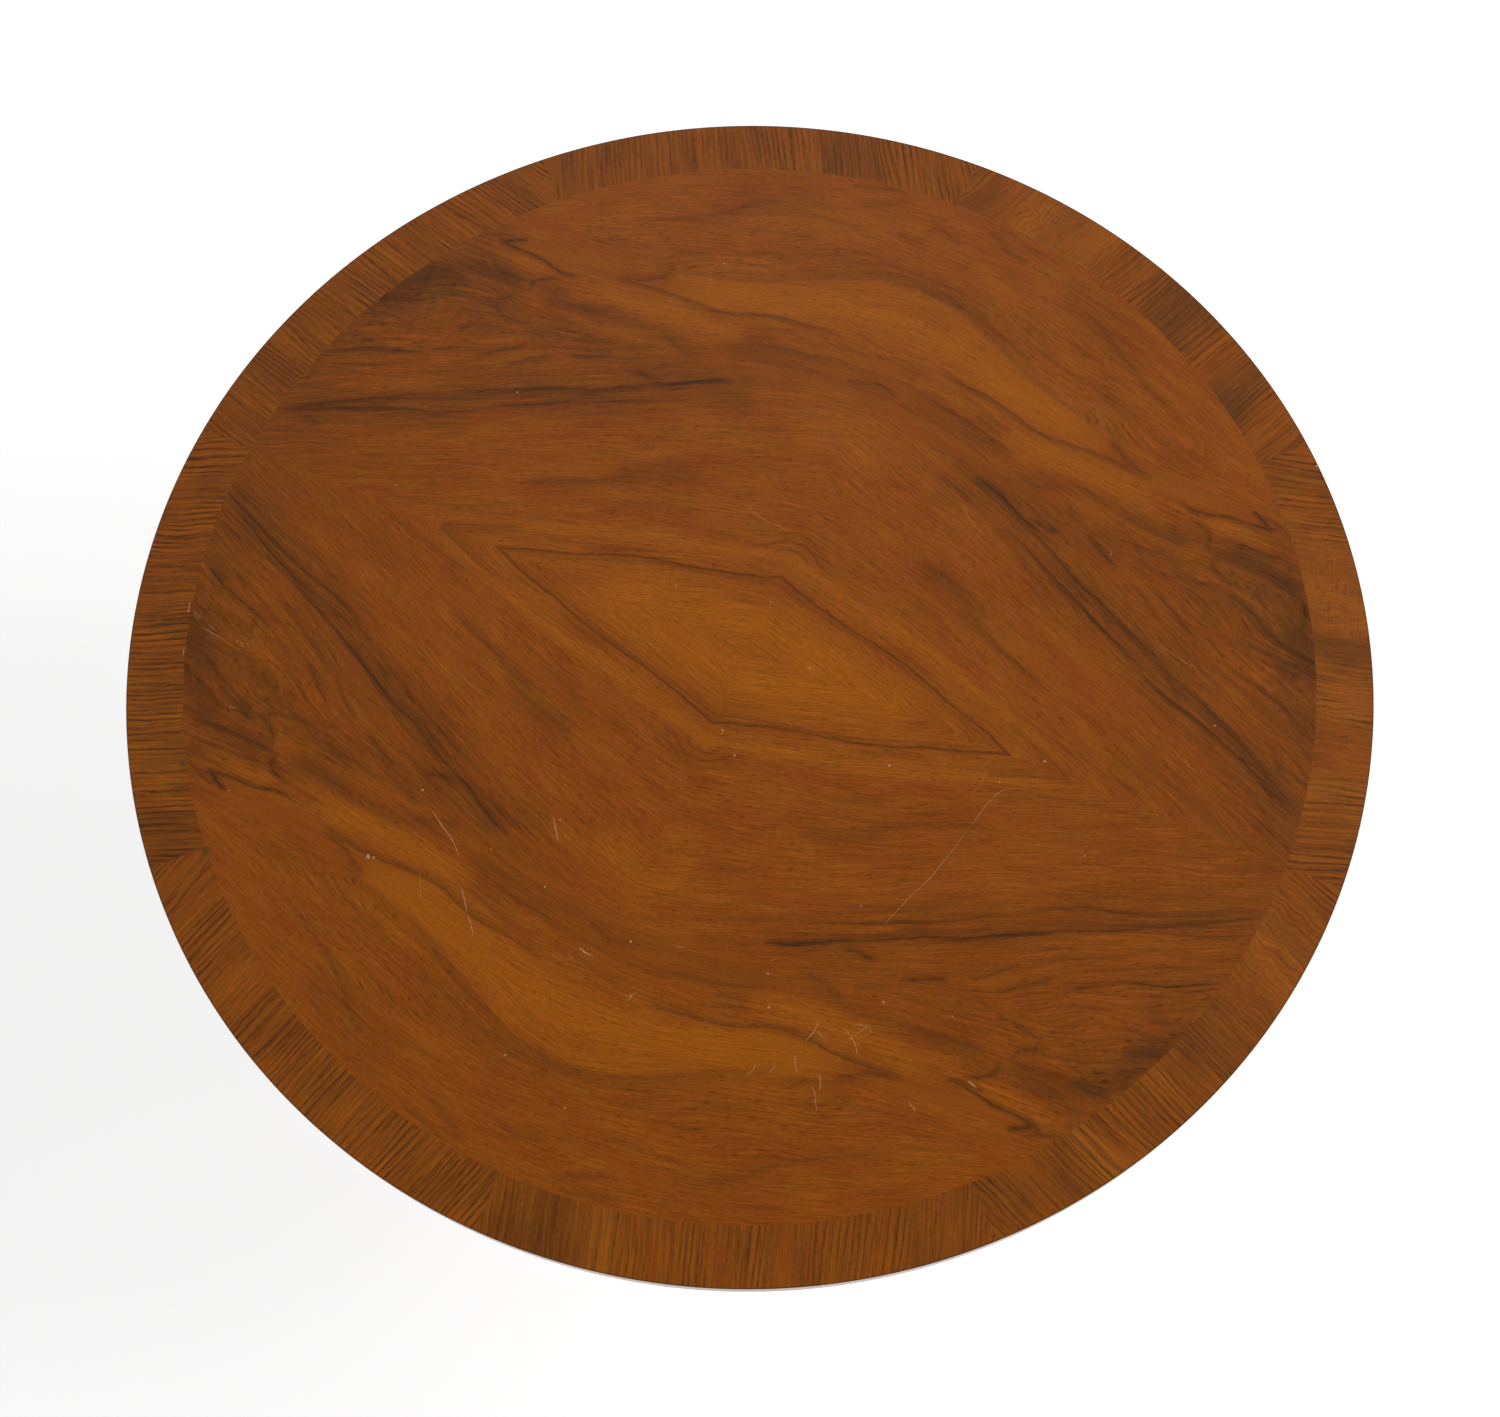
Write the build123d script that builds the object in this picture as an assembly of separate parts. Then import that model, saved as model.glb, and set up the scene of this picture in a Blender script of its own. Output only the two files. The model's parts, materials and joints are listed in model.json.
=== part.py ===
from build123d import *

import math
import os

# Round tilt-top pedestal table: a veneered top that hinges on a square block, a turned
# column, four sabre legs and brass castors.
# Millimetres, +Z up. The origin is on the floor, under the middle of the column.
# The top tilts about a line along X in front of the column, so -Y is the front.

# ---------------------------------------------------------------- top
table_height = 740.0
top_diameter = 1100.0
core_thickness = 20.4
veneer_thickness = 0.8
lipping_width = 7.0  # solid strip glued round the core
crossband_width = 50.0
arris_round = 0.6
crossband_count = 8
leaf_count = 4

# ---------------------------------------------------------------- block and bearers
block_length = 200.0  # along the pivot line
block_depth = 230.0
block_thickness = 44.0
block_moulding = 8.0
tilt_clearance = 0.5  # round the block, under the top and between the bearers

bearer_length = 760.0
bearer_width = 38.0
bearer_height = 42.0
bearer_tip_height = 13.0
bearer_sweep = 150.0  # length of each swept end
bearer_edge_round = 2.0
bearer_screw_length = 46.0
bearer_screw_pitch = 160.0
bearer_screws_per_side = 2  # each side of the middle

# ---------------------------------------------------------------- pivot
pivot_bolt_diameter = 10.0
pivot_bolt_bite = 45.0
pivot_head_diameter = 20.0
pivot_head_height = 5.0
pivot_slot_width = 2.0
running_clearance = 0.1  # radial, of every turning fit
end_float = 0.3  # sideways, of every turning fit
bush_wall = 2.0
bush_flange_diameter = 24.0
bush_flange_thickness = 2.0

# ---------------------------------------------------------------- catch
catch_gap = 3.0  # from the block's back to the front of the case
catch_drop = 12.0  # from the underside of the top to the middle of the bolt
catch_bolt_width = 14.0
catch_bolt_thickness = 8.0
catch_bolt_length = 36.0
catch_travel = 13.0
catch_nose_round = 2.5
slide_clearance = 0.2
case_wall = 1.5
case_plate_thickness = 2.0
case_plate_width = 44.0
case_screw_inset = 6.0
catch_stem_diameter = 4.0
catch_stem_back = 9.0  # from the back end of the bolt
catch_stem_bite = 5.0
knob_diameter = 12.0
knob_neck_length = 1.5
knob_collar_diameter = 9.0
knob_collar_thickness = 1.5
knob_clearance = 0.6
spring_length = 20.0
spring_back = 1.0  # from the back end of the bolt, so that it stays inside the case
spring_width = 8.0
spring_thickness = 0.5
keeper_width = 46.0
keeper_height = 17.0
keeper_thickness = 2.0
keeper_clearance = 0.6
keeper_mortise_depth = 14.0
keeper_screw_pitch = 34.0

# ---------------------------------------------------------------- column
base_height = 130.0  # underside of the column
drum_diameter = 112.0
drum_height = 112.0
foot_bead = 16.0
foot_fillet = 6.0
foot_fillet_radius = 43.0
vase_foot_radius = 35.0
vase_belly_radius = 61.0
vase_belly_rise = 78.0
vase_shoulder_radius = 42.0
vase_shoulder_rise = 178.0
shaft_top_radius = 28.0
astragal_bead = 12.0
astragal_radius = 34.0
cavetto_height = 56.0
capital_height = 12.0
capital_radius = 68.0
tenon_diameter = 56.0
kerf_depth = 30.0
kerf_top_width = 6.0
kerf_bottom_width = 2.5

# ---------------------------------------------------------------- legs
leg_count = 4
first_leg_angle = 45.0
leg_width = 44.0
leg_top_drop = 8.0  # from the top of the drum to the top of the leg
leg_flat = 54.0  # level stretch under the leg, outside the drum
leg_arch_reach = 240.0  # where the underside of the leg is measured
leg_arch_height = 91.0
leg_back_height = 147.0  # the leg's upper face at the same reach
leg_back_slope = 0.3  # fall of the upper face where it leaves the drum
leg_edge_round = 5.0
toe_reach = 422.0  # from the column's axis to the leg's tip
toe_length = 50.0
toe_width = 30.0
toe_height = 32.0
toe_tip_width = 26.0  # the toe tapers to its tip at the sides and on top
toe_tip_height = 27.5
dovetail_depth = 14.0
dovetail_neck = 14.0
dovetail_width = 21.0
dovetail_shoulder = 14.0  # from the top of the dovetail to the top of the leg
brace_thickness = 3.0
brace_arm_width = 24.0
brace_disc_diameter = 70.0
brace_screw_inset = 13.0
brace_screw_length = 26.0
brace_inner_screw_radius = 24.0

# ---------------------------------------------------------------- castors
wheel_diameter = 28.0
wheel_width = 12.0
wheel_hub_diameter = 12.0
wheel_rim_thickness = 3.0
wheel_web_width = 6.0
wheel_tread_chamfer = 1.2
axle_diameter = 4.0
rivet_diameter = 7.0
rivet_height = 1.2
castor_trail = 12.0
fork_cheek_thickness = 3.0
fork_eye_diameter = 12.0
fork_plate_diameter = 24.0
fork_plate_thickness = 4.0
swivel_pin_diameter = 7.0
swivel_head_diameter = 11.0
swivel_head_height = 2.0
swivel_pin_bite = 18.0
swivel_inset = 24.0  # from the leg's tip to the swivel pin
wheel_top_gap = 4.0  # from the wheel up to the swivel pin's head
boss_height = 3.0
cup_wall = 2.0
cup_corner_round = 3.5  # along the cup
cup_end_round = 3.0
cup_bead_width = 5.0  # along the cup, from its open end
cup_bead_height = 1.4
cup_bead_round = 1.2
cup_screw_length = 10.0
cup_screw_inset = 12.0  # from the open end of the cup

# ---------------------------------------------------------------- screws
screw_diameter = 4.5
screw_head_diameter = 9.0
screw_head_height = 2.6
small_screw_diameter = 2.6
small_screw_head_diameter = 5.2
small_screw_head_height = 1.4
small_screw_length = 9.0
slot_share = 0.14  # of the head's diameter

# ---------------------------------------------------------------- levels and places
top_radius = top_diameter / 2
field_radius = top_radius - crossband_width
core_radius = top_radius - lipping_width
core_top_z = table_height - veneer_thickness
core_bottom_z = core_top_z - core_thickness
underside_z = core_bottom_z - veneer_thickness
block_top_z = underside_z - tilt_clearance
block_bottom_z = block_top_z - block_thickness
block_front_y = -block_depth / 2
block_back_y = block_depth / 2
pivot_y = block_front_y + block_thickness / 2
pivot_z = block_top_z - block_thickness / 2
bearer_inner_x = block_length / 2 + tilt_clearance
bearer_outer_x = bearer_inner_x + bearer_width
bush_face_x = bearer_outer_x + bush_flange_thickness
bush_radius = pivot_bolt_diameter / 2 + running_clearance + bush_wall

bolt_z = underside_z - catch_drop
case_front_y = block_back_y + catch_gap
case_inner_width = catch_bolt_width + 2 * slide_clearance
case_bottom_z = bolt_z - catch_bolt_thickness / 2 - slide_clearance - case_wall
case_length = catch_bolt_length + slide_clearance + case_wall
stem_y = case_front_y + catch_bolt_length - catch_stem_back

drum_radius = drum_diameter / 2
drum_top_z = base_height + drum_height
leg_top_z = drum_top_z - leg_top_drop
dovetail_top_z = leg_top_z - dovetail_shoulder
leg_angles = [first_leg_angle + 360 / leg_count * k for k in range(leg_count)]

wheel_radius = wheel_diameter / 2
swivel_reach = toe_reach - swivel_inset
head_bottom_z = wheel_diameter + wheel_top_gap
plate_bottom_z = head_bottom_z + swivel_head_height + end_float
plate_top_z = plate_bottom_z + fork_plate_thickness
boss_bottom_z = plate_top_z + end_float
cup_bottom_z = boss_bottom_z + boss_height
toe_bottom_z = cup_bottom_z + cup_wall
toe_top_z = toe_bottom_z + toe_height
toe_start = toe_reach - toe_length
cheek_inner_y = wheel_width / 2 + end_float
cheek_outer_y = cheek_inner_y + fork_cheek_thickness


# ---------------------------------------------------------------- shared shapes
def rod(start, direction, radius, length):
    """A round bar that starts at a point and runs along a direction."""
    return Solid.make_cylinder(radius, length, Plane(origin=start, z_dir=direction))


def extruded(face, thickness):
    """A solid of that thickness, half of it each side of the face."""
    return extrude(face, amount=thickness / 2, both=True)


def around(shape):
    """Copies of a shape made at angle 0, one turned to each leg."""
    return [Rot(0, 0, angle) * shape for angle in leg_angles]


def around_all(shapes):
    """The same for a list of shapes made at angle 0."""
    return [copy for shape in shapes for copy in around(shape)]


def screw_body(diameter, head_diameter, head_height, length):
    """A countersunk screw along +Z, the face of its head on z = 0."""
    tip = diameter
    outline = Polyline(
        (0, 0),
        (head_diameter / 2, 0),
        (diameter / 2, head_height),
        (diameter / 2, length - tip),
        (0, length),
        close=True,
    )
    return revolve(Plane.XZ * make_face(outline), Axis.Z)


def slotted(body, head_diameter, head_height):
    """Cuts the driver's slot across the head of a screw that starts on z = 0."""
    slot_depth = head_height / 2
    slot = Pos(0, 0, slot_depth / 2) * Box(
        head_diameter * 1.1, head_diameter * slot_share, slot_depth
    )
    return body - slot


def large_screw(head_point, direction, length):
    """A wood screw and the space it fills, driven from head_point along direction."""
    body = screw_body(screw_diameter, screw_head_diameter, screw_head_height, length)
    frame = Plane(origin=head_point, z_dir=direction)
    return frame * slotted(body, screw_head_diameter, screw_head_height), frame * body


def small_screw(head_point, direction, length=small_screw_length):
    """A brass screw and the space it fills, driven from head_point along direction."""
    body = screw_body(
        small_screw_diameter, small_screw_head_diameter, small_screw_head_height, length
    )
    frame = Plane(origin=head_point, z_dir=direction)
    screw = slotted(body, small_screw_head_diameter, small_screw_head_height)
    return frame * screw, frame * body


def split(pairs):
    """Parts a list of (screw, space) pairs into a list of screws and a list of spaces."""
    return [p[0] for p in pairs], [p[1] for p in pairs]


# ---------------------------------------------------------------- screws by place
def bearer_screw_pairs(side):
    """Screws up through one bearer into the core; side is -1 or 1."""
    x = side * (bearer_inner_x + bearer_width / 2)
    steps = range(-bearer_screws_per_side, bearer_screws_per_side + 1)
    # the screw heads sit in counterbores, so that every screw reaches the core
    head_z = core_bottom_z + core_thickness * 0.6 - bearer_screw_length
    return [
        large_screw((x, k * bearer_screw_pitch, head_z), (0, 0, 1), bearer_screw_length)
        for k in steps
    ]


def case_screw_pairs():
    """Screws up through the corners of the catch's plate."""
    xs = case_plate_width / 2 - case_screw_inset
    low = underside_z - case_plate_thickness
    ys = (case_front_y + case_screw_inset, case_front_y + case_length - case_screw_inset)
    return [small_screw((s * xs, y, low), (0, 0, 1)) for s in (-1, 1) for y in ys]


def keeper_screw_pairs():
    """Screws through the ends of the keeper plate into the block."""
    xs = keeper_screw_pitch / 2
    return [small_screw((s * xs, block_back_y, bolt_z), (0, -1, 0)) for s in (-1, 1)]


def brace_screw_pairs():
    """Under the leg at angle 0, one screw into the leg and one into the column."""
    low = base_height - brace_thickness
    reaches = (drum_radius + leg_flat - brace_screw_inset, brace_inner_screw_radius)
    return [large_screw((r, 0, low), (0, 0, 1), brace_screw_length) for r in reaches]


def cup_screw_pairs():
    """Two screws through the sides of one cup, for the leg at angle 0."""
    narrowing = (toe_width - toe_tip_width) / 2 * cup_screw_inset / toe_length
    y = toe_width / 2 - narrowing + cup_wall
    x = toe_start + cup_screw_inset
    z = toe_bottom_z + toe_height / 2
    return [small_screw((x, s * y, z), (0, -s, 0), cup_screw_length) for s in (-1, 1)]


bearer_screws = {}
bearer_screw_spaces = {}
for side_name, side in (("left", -1), ("right", 1)):
    bearer_screws[side_name], bearer_screw_spaces[side_name] = split(bearer_screw_pairs(side))
case_screws, case_screw_spaces = split(case_screw_pairs())
keeper_screws, keeper_screw_spaces = split(keeper_screw_pairs())
brace_screws, brace_screw_spaces = split(brace_screw_pairs())
cup_screws, cup_screw_spaces = split(cup_screw_pairs())


# ---------------------------------------------------------------- the top
def core_board():
    """The disc that everything on the top is glued or screwed to."""
    board = rod((0, 0, core_bottom_z), (0, 0, 1), core_radius, core_thickness)
    screws = bearer_screw_spaces["left"] + bearer_screw_spaces["right"] + case_screw_spaces
    return board - screws


def edge_lipping():
    """A solid strip round the core, whose outer face is the table's edge."""
    ring = rod((0, 0, core_bottom_z), (0, 0, 1), top_radius, core_thickness)
    return ring - rod((0, 0, core_bottom_z), (0, 0, 1), core_radius, core_thickness)


def rounded_strip(inner_radius, low_z, high_z, round_low):
    """A cross-section out to the table's edge, with one outer corner rounded."""
    strip = Pos((inner_radius + top_radius) / 2, (low_z + high_z) / 2) * Rectangle(
        top_radius - inner_radius, high_z - low_z
    )
    outer = strip.vertices().group_by(Axis.X)[-1].sort_by(Axis.Y)
    return Plane.XZ * fillet(outer[0] if round_low else outer[-1], arris_round)


def balance_veneer():
    """Plain veneer under the core, which keeps the top flat."""
    sheet = revolve(rounded_strip(0, underside_z, core_bottom_z, True), Axis.Z)
    screws = bearer_screw_spaces["left"] + bearer_screw_spaces["right"] + case_screw_spaces
    return sheet - screws


def field_leaf(index):
    """One quarter of the middle of the top; its two straight sides are the seams."""
    sweep = 360 / leaf_count
    arc = CenterArc((0, 0), field_radius, index * sweep, sweep)
    sides = [Line((0, 0), arc @ 0), Line(arc @ 1, (0, 0))]
    face = Pos(0, 0, core_top_z) * make_face([sides[0], arc, sides[1]])
    return extrude(face, amount=veneer_thickness, dir=(0, 0, 1))


def crossband(index):
    """One piece of the border, mitred to its neighbours at both ends."""
    sweep = 360 / crossband_count
    profile = rounded_strip(field_radius, core_top_z, table_height, False)
    return Rot(0, 0, index * sweep) * revolve(profile, Axis.Z, revolution_arc=sweep)


def bearer(side_name, side):
    """A rail across the underside, swept up at both ends, bored for the pivot bush."""
    half = bearer_length / 2
    low_z = underside_z - bearer_height
    tip_z = underside_z - bearer_tip_height
    sweep_y = half - bearer_sweep
    ends = [
        Spline((s * half, tip_z), (s * sweep_y, low_z), tangents=[(-s, 0), (-s, 0)])
        for s in (-1, 1)
    ]
    outline = [
        Line((-half, underside_z), (half, underside_z)),
        Line((half, underside_z), (half, tip_z)),
        ends[1],
        Line((sweep_y, low_z), (-sweep_y, low_z)),
        ends[0],
        Line((-half, tip_z), (-half, underside_z)),
    ]
    x = side * (bearer_inner_x + bearer_width / 2)
    rail = extruded(Pos(x, 0, 0) * (Plane.YZ * make_face(outline)), bearer_width)
    # the long lower edges are eased, the edges against the top stay square
    eased = [
        e
        for e in rail.edges().filter_by(GeomType.LINE).filter_by(Axis.Y)
        if e.center().Z < underside_z - 1
    ]
    rail = fillet(eased, bearer_edge_round)
    rail -= rod((side * bearer_inner_x, pivot_y, pivot_z), (side, 0, 0), bush_radius, bearer_width)
    for space in bearer_screw_spaces[side_name]:
        head = space.bounding_box().min.Z
        rail -= space
        rail -= rod(
            (x, space.center().Y, low_z),
            (0, 0, 1),
            screw_head_diameter / 2,
            head - low_z,
        )
    return rail


def pivot_bush(side):
    """Flanged brass lining of the pivot hole in a bearer."""
    start = (side * bearer_inner_x, pivot_y, pivot_z)
    out = (side, 0, 0)
    flange = rod(
        (side * bearer_outer_x, pivot_y, pivot_z), out, bush_flange_diameter / 2, bush_flange_thickness
    )
    sleeve = rod(start, out, bush_radius, bearer_width)
    bore = rod(
        start, out, pivot_bolt_diameter / 2 + running_clearance, bearer_width + bush_flange_thickness
    )
    return sleeve + flange - bore


# ---------------------------------------------------------------- the catch
def catch_case():
    """Plate and channel that hold the bolt, screwed to the underside of the top."""
    middle_y = case_front_y + case_length / 2
    plate = Pos(0, middle_y, underside_z - case_plate_thickness / 2) * Box(
        case_plate_width, case_length, case_plate_thickness
    )
    plate = fillet(plate.edges().filter_by(Axis.Z), case_screw_inset / 2)
    channel_height = underside_z - case_bottom_z
    channel = Pos(0, middle_y, case_bottom_z + channel_height / 2) * Box(
        case_inner_width + 2 * case_wall, case_length, channel_height
    )
    hollow_height = channel_height - case_wall - case_plate_thickness
    hollow = Pos(
        0,
        middle_y - case_wall / 2,
        case_bottom_z + case_wall + hollow_height / 2,
    ) * Box(case_inner_width, case_length - case_wall, hollow_height)
    slot_width = catch_stem_diameter + 2 * slide_clearance
    slot = Pos(0, stem_y - catch_travel / 2, case_bottom_z + case_wall / 2) * Box(
        slot_width, catch_travel + slot_width, case_wall
    )
    return plate + channel - hollow - slot - case_screw_spaces


def catch_bolt():
    """Flat sliding bolt, drawn back, with its nose eased to find the keeper."""
    bolt = Pos(0, case_front_y + catch_bolt_length / 2, bolt_z) * Box(
        catch_bolt_width, catch_bolt_length, catch_bolt_thickness
    )
    nose = bolt.faces().sort_by(Axis.Y)[0].edges()
    bolt = chamfer(nose, catch_nose_round)
    low = bolt_z - catch_bolt_thickness / 2
    return bolt - rod((0, stem_y, low), (0, 0, 1), catch_stem_diameter / 2, catch_stem_bite)


def catch_knob():
    """Turned knob under the case; its stem is driven up into the bolt."""
    stem_top = bolt_z - catch_bolt_thickness / 2 + catch_stem_bite
    collar_z = case_bottom_z - knob_clearance
    neck_z = collar_z - knob_collar_thickness
    ball_z = neck_z - knob_neck_length - knob_diameter / 2
    neck = rod((0, stem_y, stem_top), (0, 0, -1), catch_stem_diameter / 2, stem_top - ball_z)
    collar = rod((0, stem_y, collar_z), (0, 0, -1), knob_collar_diameter / 2, knob_collar_thickness)
    return neck + collar + Pos(0, stem_y, ball_z) * Sphere(knob_diameter / 2)


def catch_spring():
    """Bowed leaf that presses on the bolt, so that it stays where it is put."""
    seat_z = bolt_z + catch_bolt_thickness / 2
    rise = underside_z - case_plate_thickness - slide_clearance - seat_z
    half = spring_length / 2
    bow = ThreePointArc((-half, 0), (0, rise), (half, 0))
    segment = make_face([bow, Line((half, 0), (-half, 0))])
    strip = segment - Pos(0, -spring_thickness) * segment
    # the crescent's lower part lies under its feet and is cut away with the copy
    spring_y = case_front_y + catch_bolt_length - spring_back - half
    return Pos(0, spring_y, seat_z) * extruded(Plane.YZ * strip, spring_width)


# ---------------------------------------------------------------- the pedestal
def keeper_hole():
    """The space that the shot bolt fills, with its clearance, into the block."""
    return Pos(0, block_back_y - keeper_mortise_depth / 2, bolt_z) * Box(
        catch_bolt_width + 2 * keeper_clearance,
        keeper_mortise_depth,
        catch_bolt_thickness + 2 * keeper_clearance,
    )


def keeper_blank():
    """The keeper plate before it is pierced; it is let in flush with the block's back."""
    plate = Pos(0, block_back_y - keeper_thickness / 2, bolt_z) * Box(
        keeper_width, keeper_thickness, keeper_height
    )
    return fillet(plate.edges().filter_by(Axis.Y), keeper_height / 6)


def keeper_plate():
    """Brass plate that takes the bolt's wear."""
    return keeper_blank() - keeper_hole() - keeper_screw_spaces


def top_block():
    """Block on the column that the top hinges on and rests over."""
    nose = CenterArc((pivot_y, pivot_z), block_thickness / 2, 90, 90)
    outline = [
        nose,
        Line(nose @ 1, (block_front_y, block_bottom_z)),
        Line((block_front_y, block_bottom_z), (block_back_y, block_bottom_z)),
        Line((block_back_y, block_bottom_z), (block_back_y, block_top_z)),
        Line((block_back_y, block_top_z), nose @ 0),
    ]
    block = extruded(Plane.YZ * make_face(outline), block_length)
    moulded = [
        e for e in block.faces().sort_by(Axis.Z)[0].edges() if e.center().Y > block_front_y + 1
    ]
    block = fillet(moulded, block_moulding)
    block -= rod((0, 0, block_bottom_z), (0, 0, 1), tenon_diameter / 2, block_thickness)
    for side in (-1, 1):
        mouth = (side * block_length / 2, pivot_y, pivot_z)
        block -= rod(mouth, (-side, 0, 0), pivot_bolt_diameter / 2, pivot_bolt_bite)
    return block - keeper_blank() - keeper_hole() - keeper_screw_spaces


def pivot_bolt(side):
    """Slotted bolt through a bush into the block; the top turns on its shank."""
    shank_start = side * (block_length / 2 - pivot_bolt_bite)
    head_x = side * (bush_face_x + end_float)
    shank = rod(
        (shank_start, pivot_y, pivot_z),
        (side, 0, 0),
        pivot_bolt_diameter / 2,
        abs(head_x - shank_start),
    )
    head = rod((head_x, pivot_y, pivot_z), (side, 0, 0), pivot_head_diameter / 2, pivot_head_height)
    head = chamfer(head.edges().sort_by(Axis.X)[-1 if side > 0 else 0], pivot_head_height / 3)
    slot = Pos(head_x + side * pivot_head_height, pivot_y, pivot_z) * Box(
        pivot_head_height, pivot_head_diameter, pivot_slot_width
    )
    return shank + head - slot


def kerf():
    """Tapered saw cut across the tenon, which the wedge fills."""
    outline = Polyline(
        (-kerf_top_width / 2, block_top_z),
        (kerf_top_width / 2, block_top_z),
        (kerf_bottom_width / 2, block_top_z - kerf_depth),
        (-kerf_bottom_width / 2, block_top_z - kerf_depth),
        close=True,
    )
    return extruded(Plane.YZ * make_face(outline), tenon_diameter)


def tenon_wedge():
    """Wedge driven into the tenon to lock the block on the column."""
    tenon = rod((0, 0, block_bottom_z), (0, 0, 1), tenon_diameter / 2, block_thickness)
    return kerf() & tenon


def dovetail():
    """Sliding dovetail on the inner end of the leg at angle 0."""
    back = drum_radius - dovetail_depth
    outline = Polyline(
        (drum_radius, -dovetail_neck / 2),
        (drum_radius, dovetail_neck / 2),
        (back, dovetail_width / 2),
        (back, -dovetail_width / 2),
        close=True,
    )
    height = dovetail_top_z - base_height
    return extrude(Pos(0, 0, base_height) * make_face(outline), amount=height, dir=(0, 0, 1))


def column():
    """Turned column: drum, foot bead, vase, long shaft, astragal, cavetto and tenon."""
    foot_z = drum_top_z + foot_bead
    vase_z = foot_z + foot_fillet
    capital_z = block_bottom_z - capital_height
    cavetto_z = capital_z - cavetto_height
    astragal_z = cavetto_z - astragal_bead
    tenon_radius = tenon_diameter / 2
    vase = Spline(
        (vase_foot_radius, vase_z),
        (vase_belly_radius, vase_z + vase_belly_rise),
        (vase_shoulder_radius, vase_z + vase_shoulder_rise),
        (shaft_top_radius, astragal_z),
        tangents=[(1, 0.8), (0, 1)],
    )
    cavetto = Spline(
        (shaft_top_radius, cavetto_z), (capital_radius, capital_z), tangents=[(0, 1), (1, 0.25)]
    )
    outline = [
        Line((0, base_height), (drum_radius, base_height)),
        Line((drum_radius, base_height), (drum_radius, drum_top_z)),
        ThreePointArc(
            (drum_radius, drum_top_z),
            (drum_radius + foot_bead / 2, drum_top_z + foot_bead / 2),
            (drum_radius, foot_z),
        ),
        Line((drum_radius, foot_z), (foot_fillet_radius, foot_z)),
        Line((foot_fillet_radius, foot_z), (foot_fillet_radius, vase_z)),
        Line((foot_fillet_radius, vase_z), (vase_foot_radius, vase_z)),
        vase,
        Line((shaft_top_radius, astragal_z), (astragal_radius, astragal_z)),
        ThreePointArc(
            (astragal_radius, astragal_z),
            (astragal_radius + astragal_bead / 2, astragal_z + astragal_bead / 2),
            (astragal_radius, cavetto_z),
        ),
        Line((astragal_radius, cavetto_z), (shaft_top_radius, cavetto_z)),
        cavetto,
        Line((capital_radius, capital_z), (capital_radius, block_bottom_z)),
        Line((capital_radius, block_bottom_z), (tenon_radius, block_bottom_z)),
        Line((tenon_radius, block_bottom_z), (tenon_radius, block_top_z)),
        Line((tenon_radius, block_top_z), (0, block_top_z)),
        Line((0, block_top_z), (0, base_height)),
    ]
    turned = revolve(Plane.XZ * make_face(outline), Axis.Z)
    return turned - kerf() - around(dovetail()) - around_all(brace_screw_spaces)


def toe_form(wall):
    """The leg's toe, level below and tapered to its tip, grown by the wall of a cup."""
    ends = []
    for reach, width, height in (
        (toe_start, toe_width, toe_height),
        (toe_reach + wall, toe_tip_width, toe_tip_height),
    ):
        section = Plane(origin=(reach, 0, toe_bottom_z + height / 2), x_dir=(0, 1, 0), z_dir=(1, 0, 0))
        ends.append(section * Rectangle(width + 2 * wall, height + 2 * wall))
    return loft(ends, ruled=True)


def leg():
    """Sabre leg at angle 0: swept down and tapered to a level toe, dovetailed inside."""
    inner = drum_radius - dovetail_depth
    flat_end = drum_radius + leg_flat
    underside = Spline(
        (flat_end, base_height),
        (leg_arch_reach, leg_arch_height),
        (toe_start, toe_bottom_z),
        tangents=[(1, 0), (1, 0)],
    )
    back = Spline(
        (toe_start, toe_top_z),
        (leg_arch_reach, leg_back_height),
        (drum_radius, leg_top_z),
        tangents=[(-1, 0), (-1, leg_back_slope)],
    )
    outline = [
        Line((inner, base_height), (flat_end, base_height)),
        underside,
        Line((toe_start, toe_bottom_z), (toe_start, toe_top_z)),
        back,
        Line((drum_radius, leg_top_z), (inner, leg_top_z)),
        Line((inner, leg_top_z), (inner, base_height)),
    ]
    plan = Polyline(
        (inner, -leg_width / 2),
        (drum_radius, -leg_width / 2),
        (toe_start, -toe_width / 2),
        (toe_start, toe_width / 2),
        (drum_radius, leg_width / 2),
        (inner, leg_width / 2),
        close=True,
    )
    body = extruded(Plane.XZ * make_face(outline), leg_width)
    body &= extrude(make_face(plan), amount=drum_top_z, dir=(0, 0, 1))
    # the two long upper edges are eased, from the drum to the cup
    curved = body.edges().filter_by(GeomType.BSPLINE) + body.edges().filter_by(GeomType.OTHER)
    upper = [e for e in curved if e.bounding_box().max.Z > drum_top_z - leg_top_drop - 1]
    body = fillet(upper, leg_edge_round)
    body -= rod((0, 0, base_height), (0, 0, 1), drum_radius, drum_height)
    body += toe_form(0)
    body += dovetail()
    pin = rod(
        (swivel_reach, 0, toe_bottom_z), (0, 0, 1), swivel_pin_diameter / 2, swivel_pin_bite
    )
    return body - pin - cup_screw_spaces - brace_screw_spaces


def brace_plate():
    """Iron spider under the column that ties the legs together."""
    low = base_height - brace_thickness
    plate = rod((0, 0, low), (0, 0, 1), brace_disc_diameter / 2, brace_thickness)
    reach = drum_radius + leg_flat - brace_arm_width / 2
    arm = Pos(reach / 2, 0, low + brace_thickness / 2) * Box(reach, brace_arm_width, brace_thickness)
    arm += rod((reach, 0, low), (0, 0, 1), brace_arm_width / 2, brace_thickness)
    for turned_arm in around(arm):
        plate += turned_arm
    return plate - around_all(brace_screw_spaces)


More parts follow.
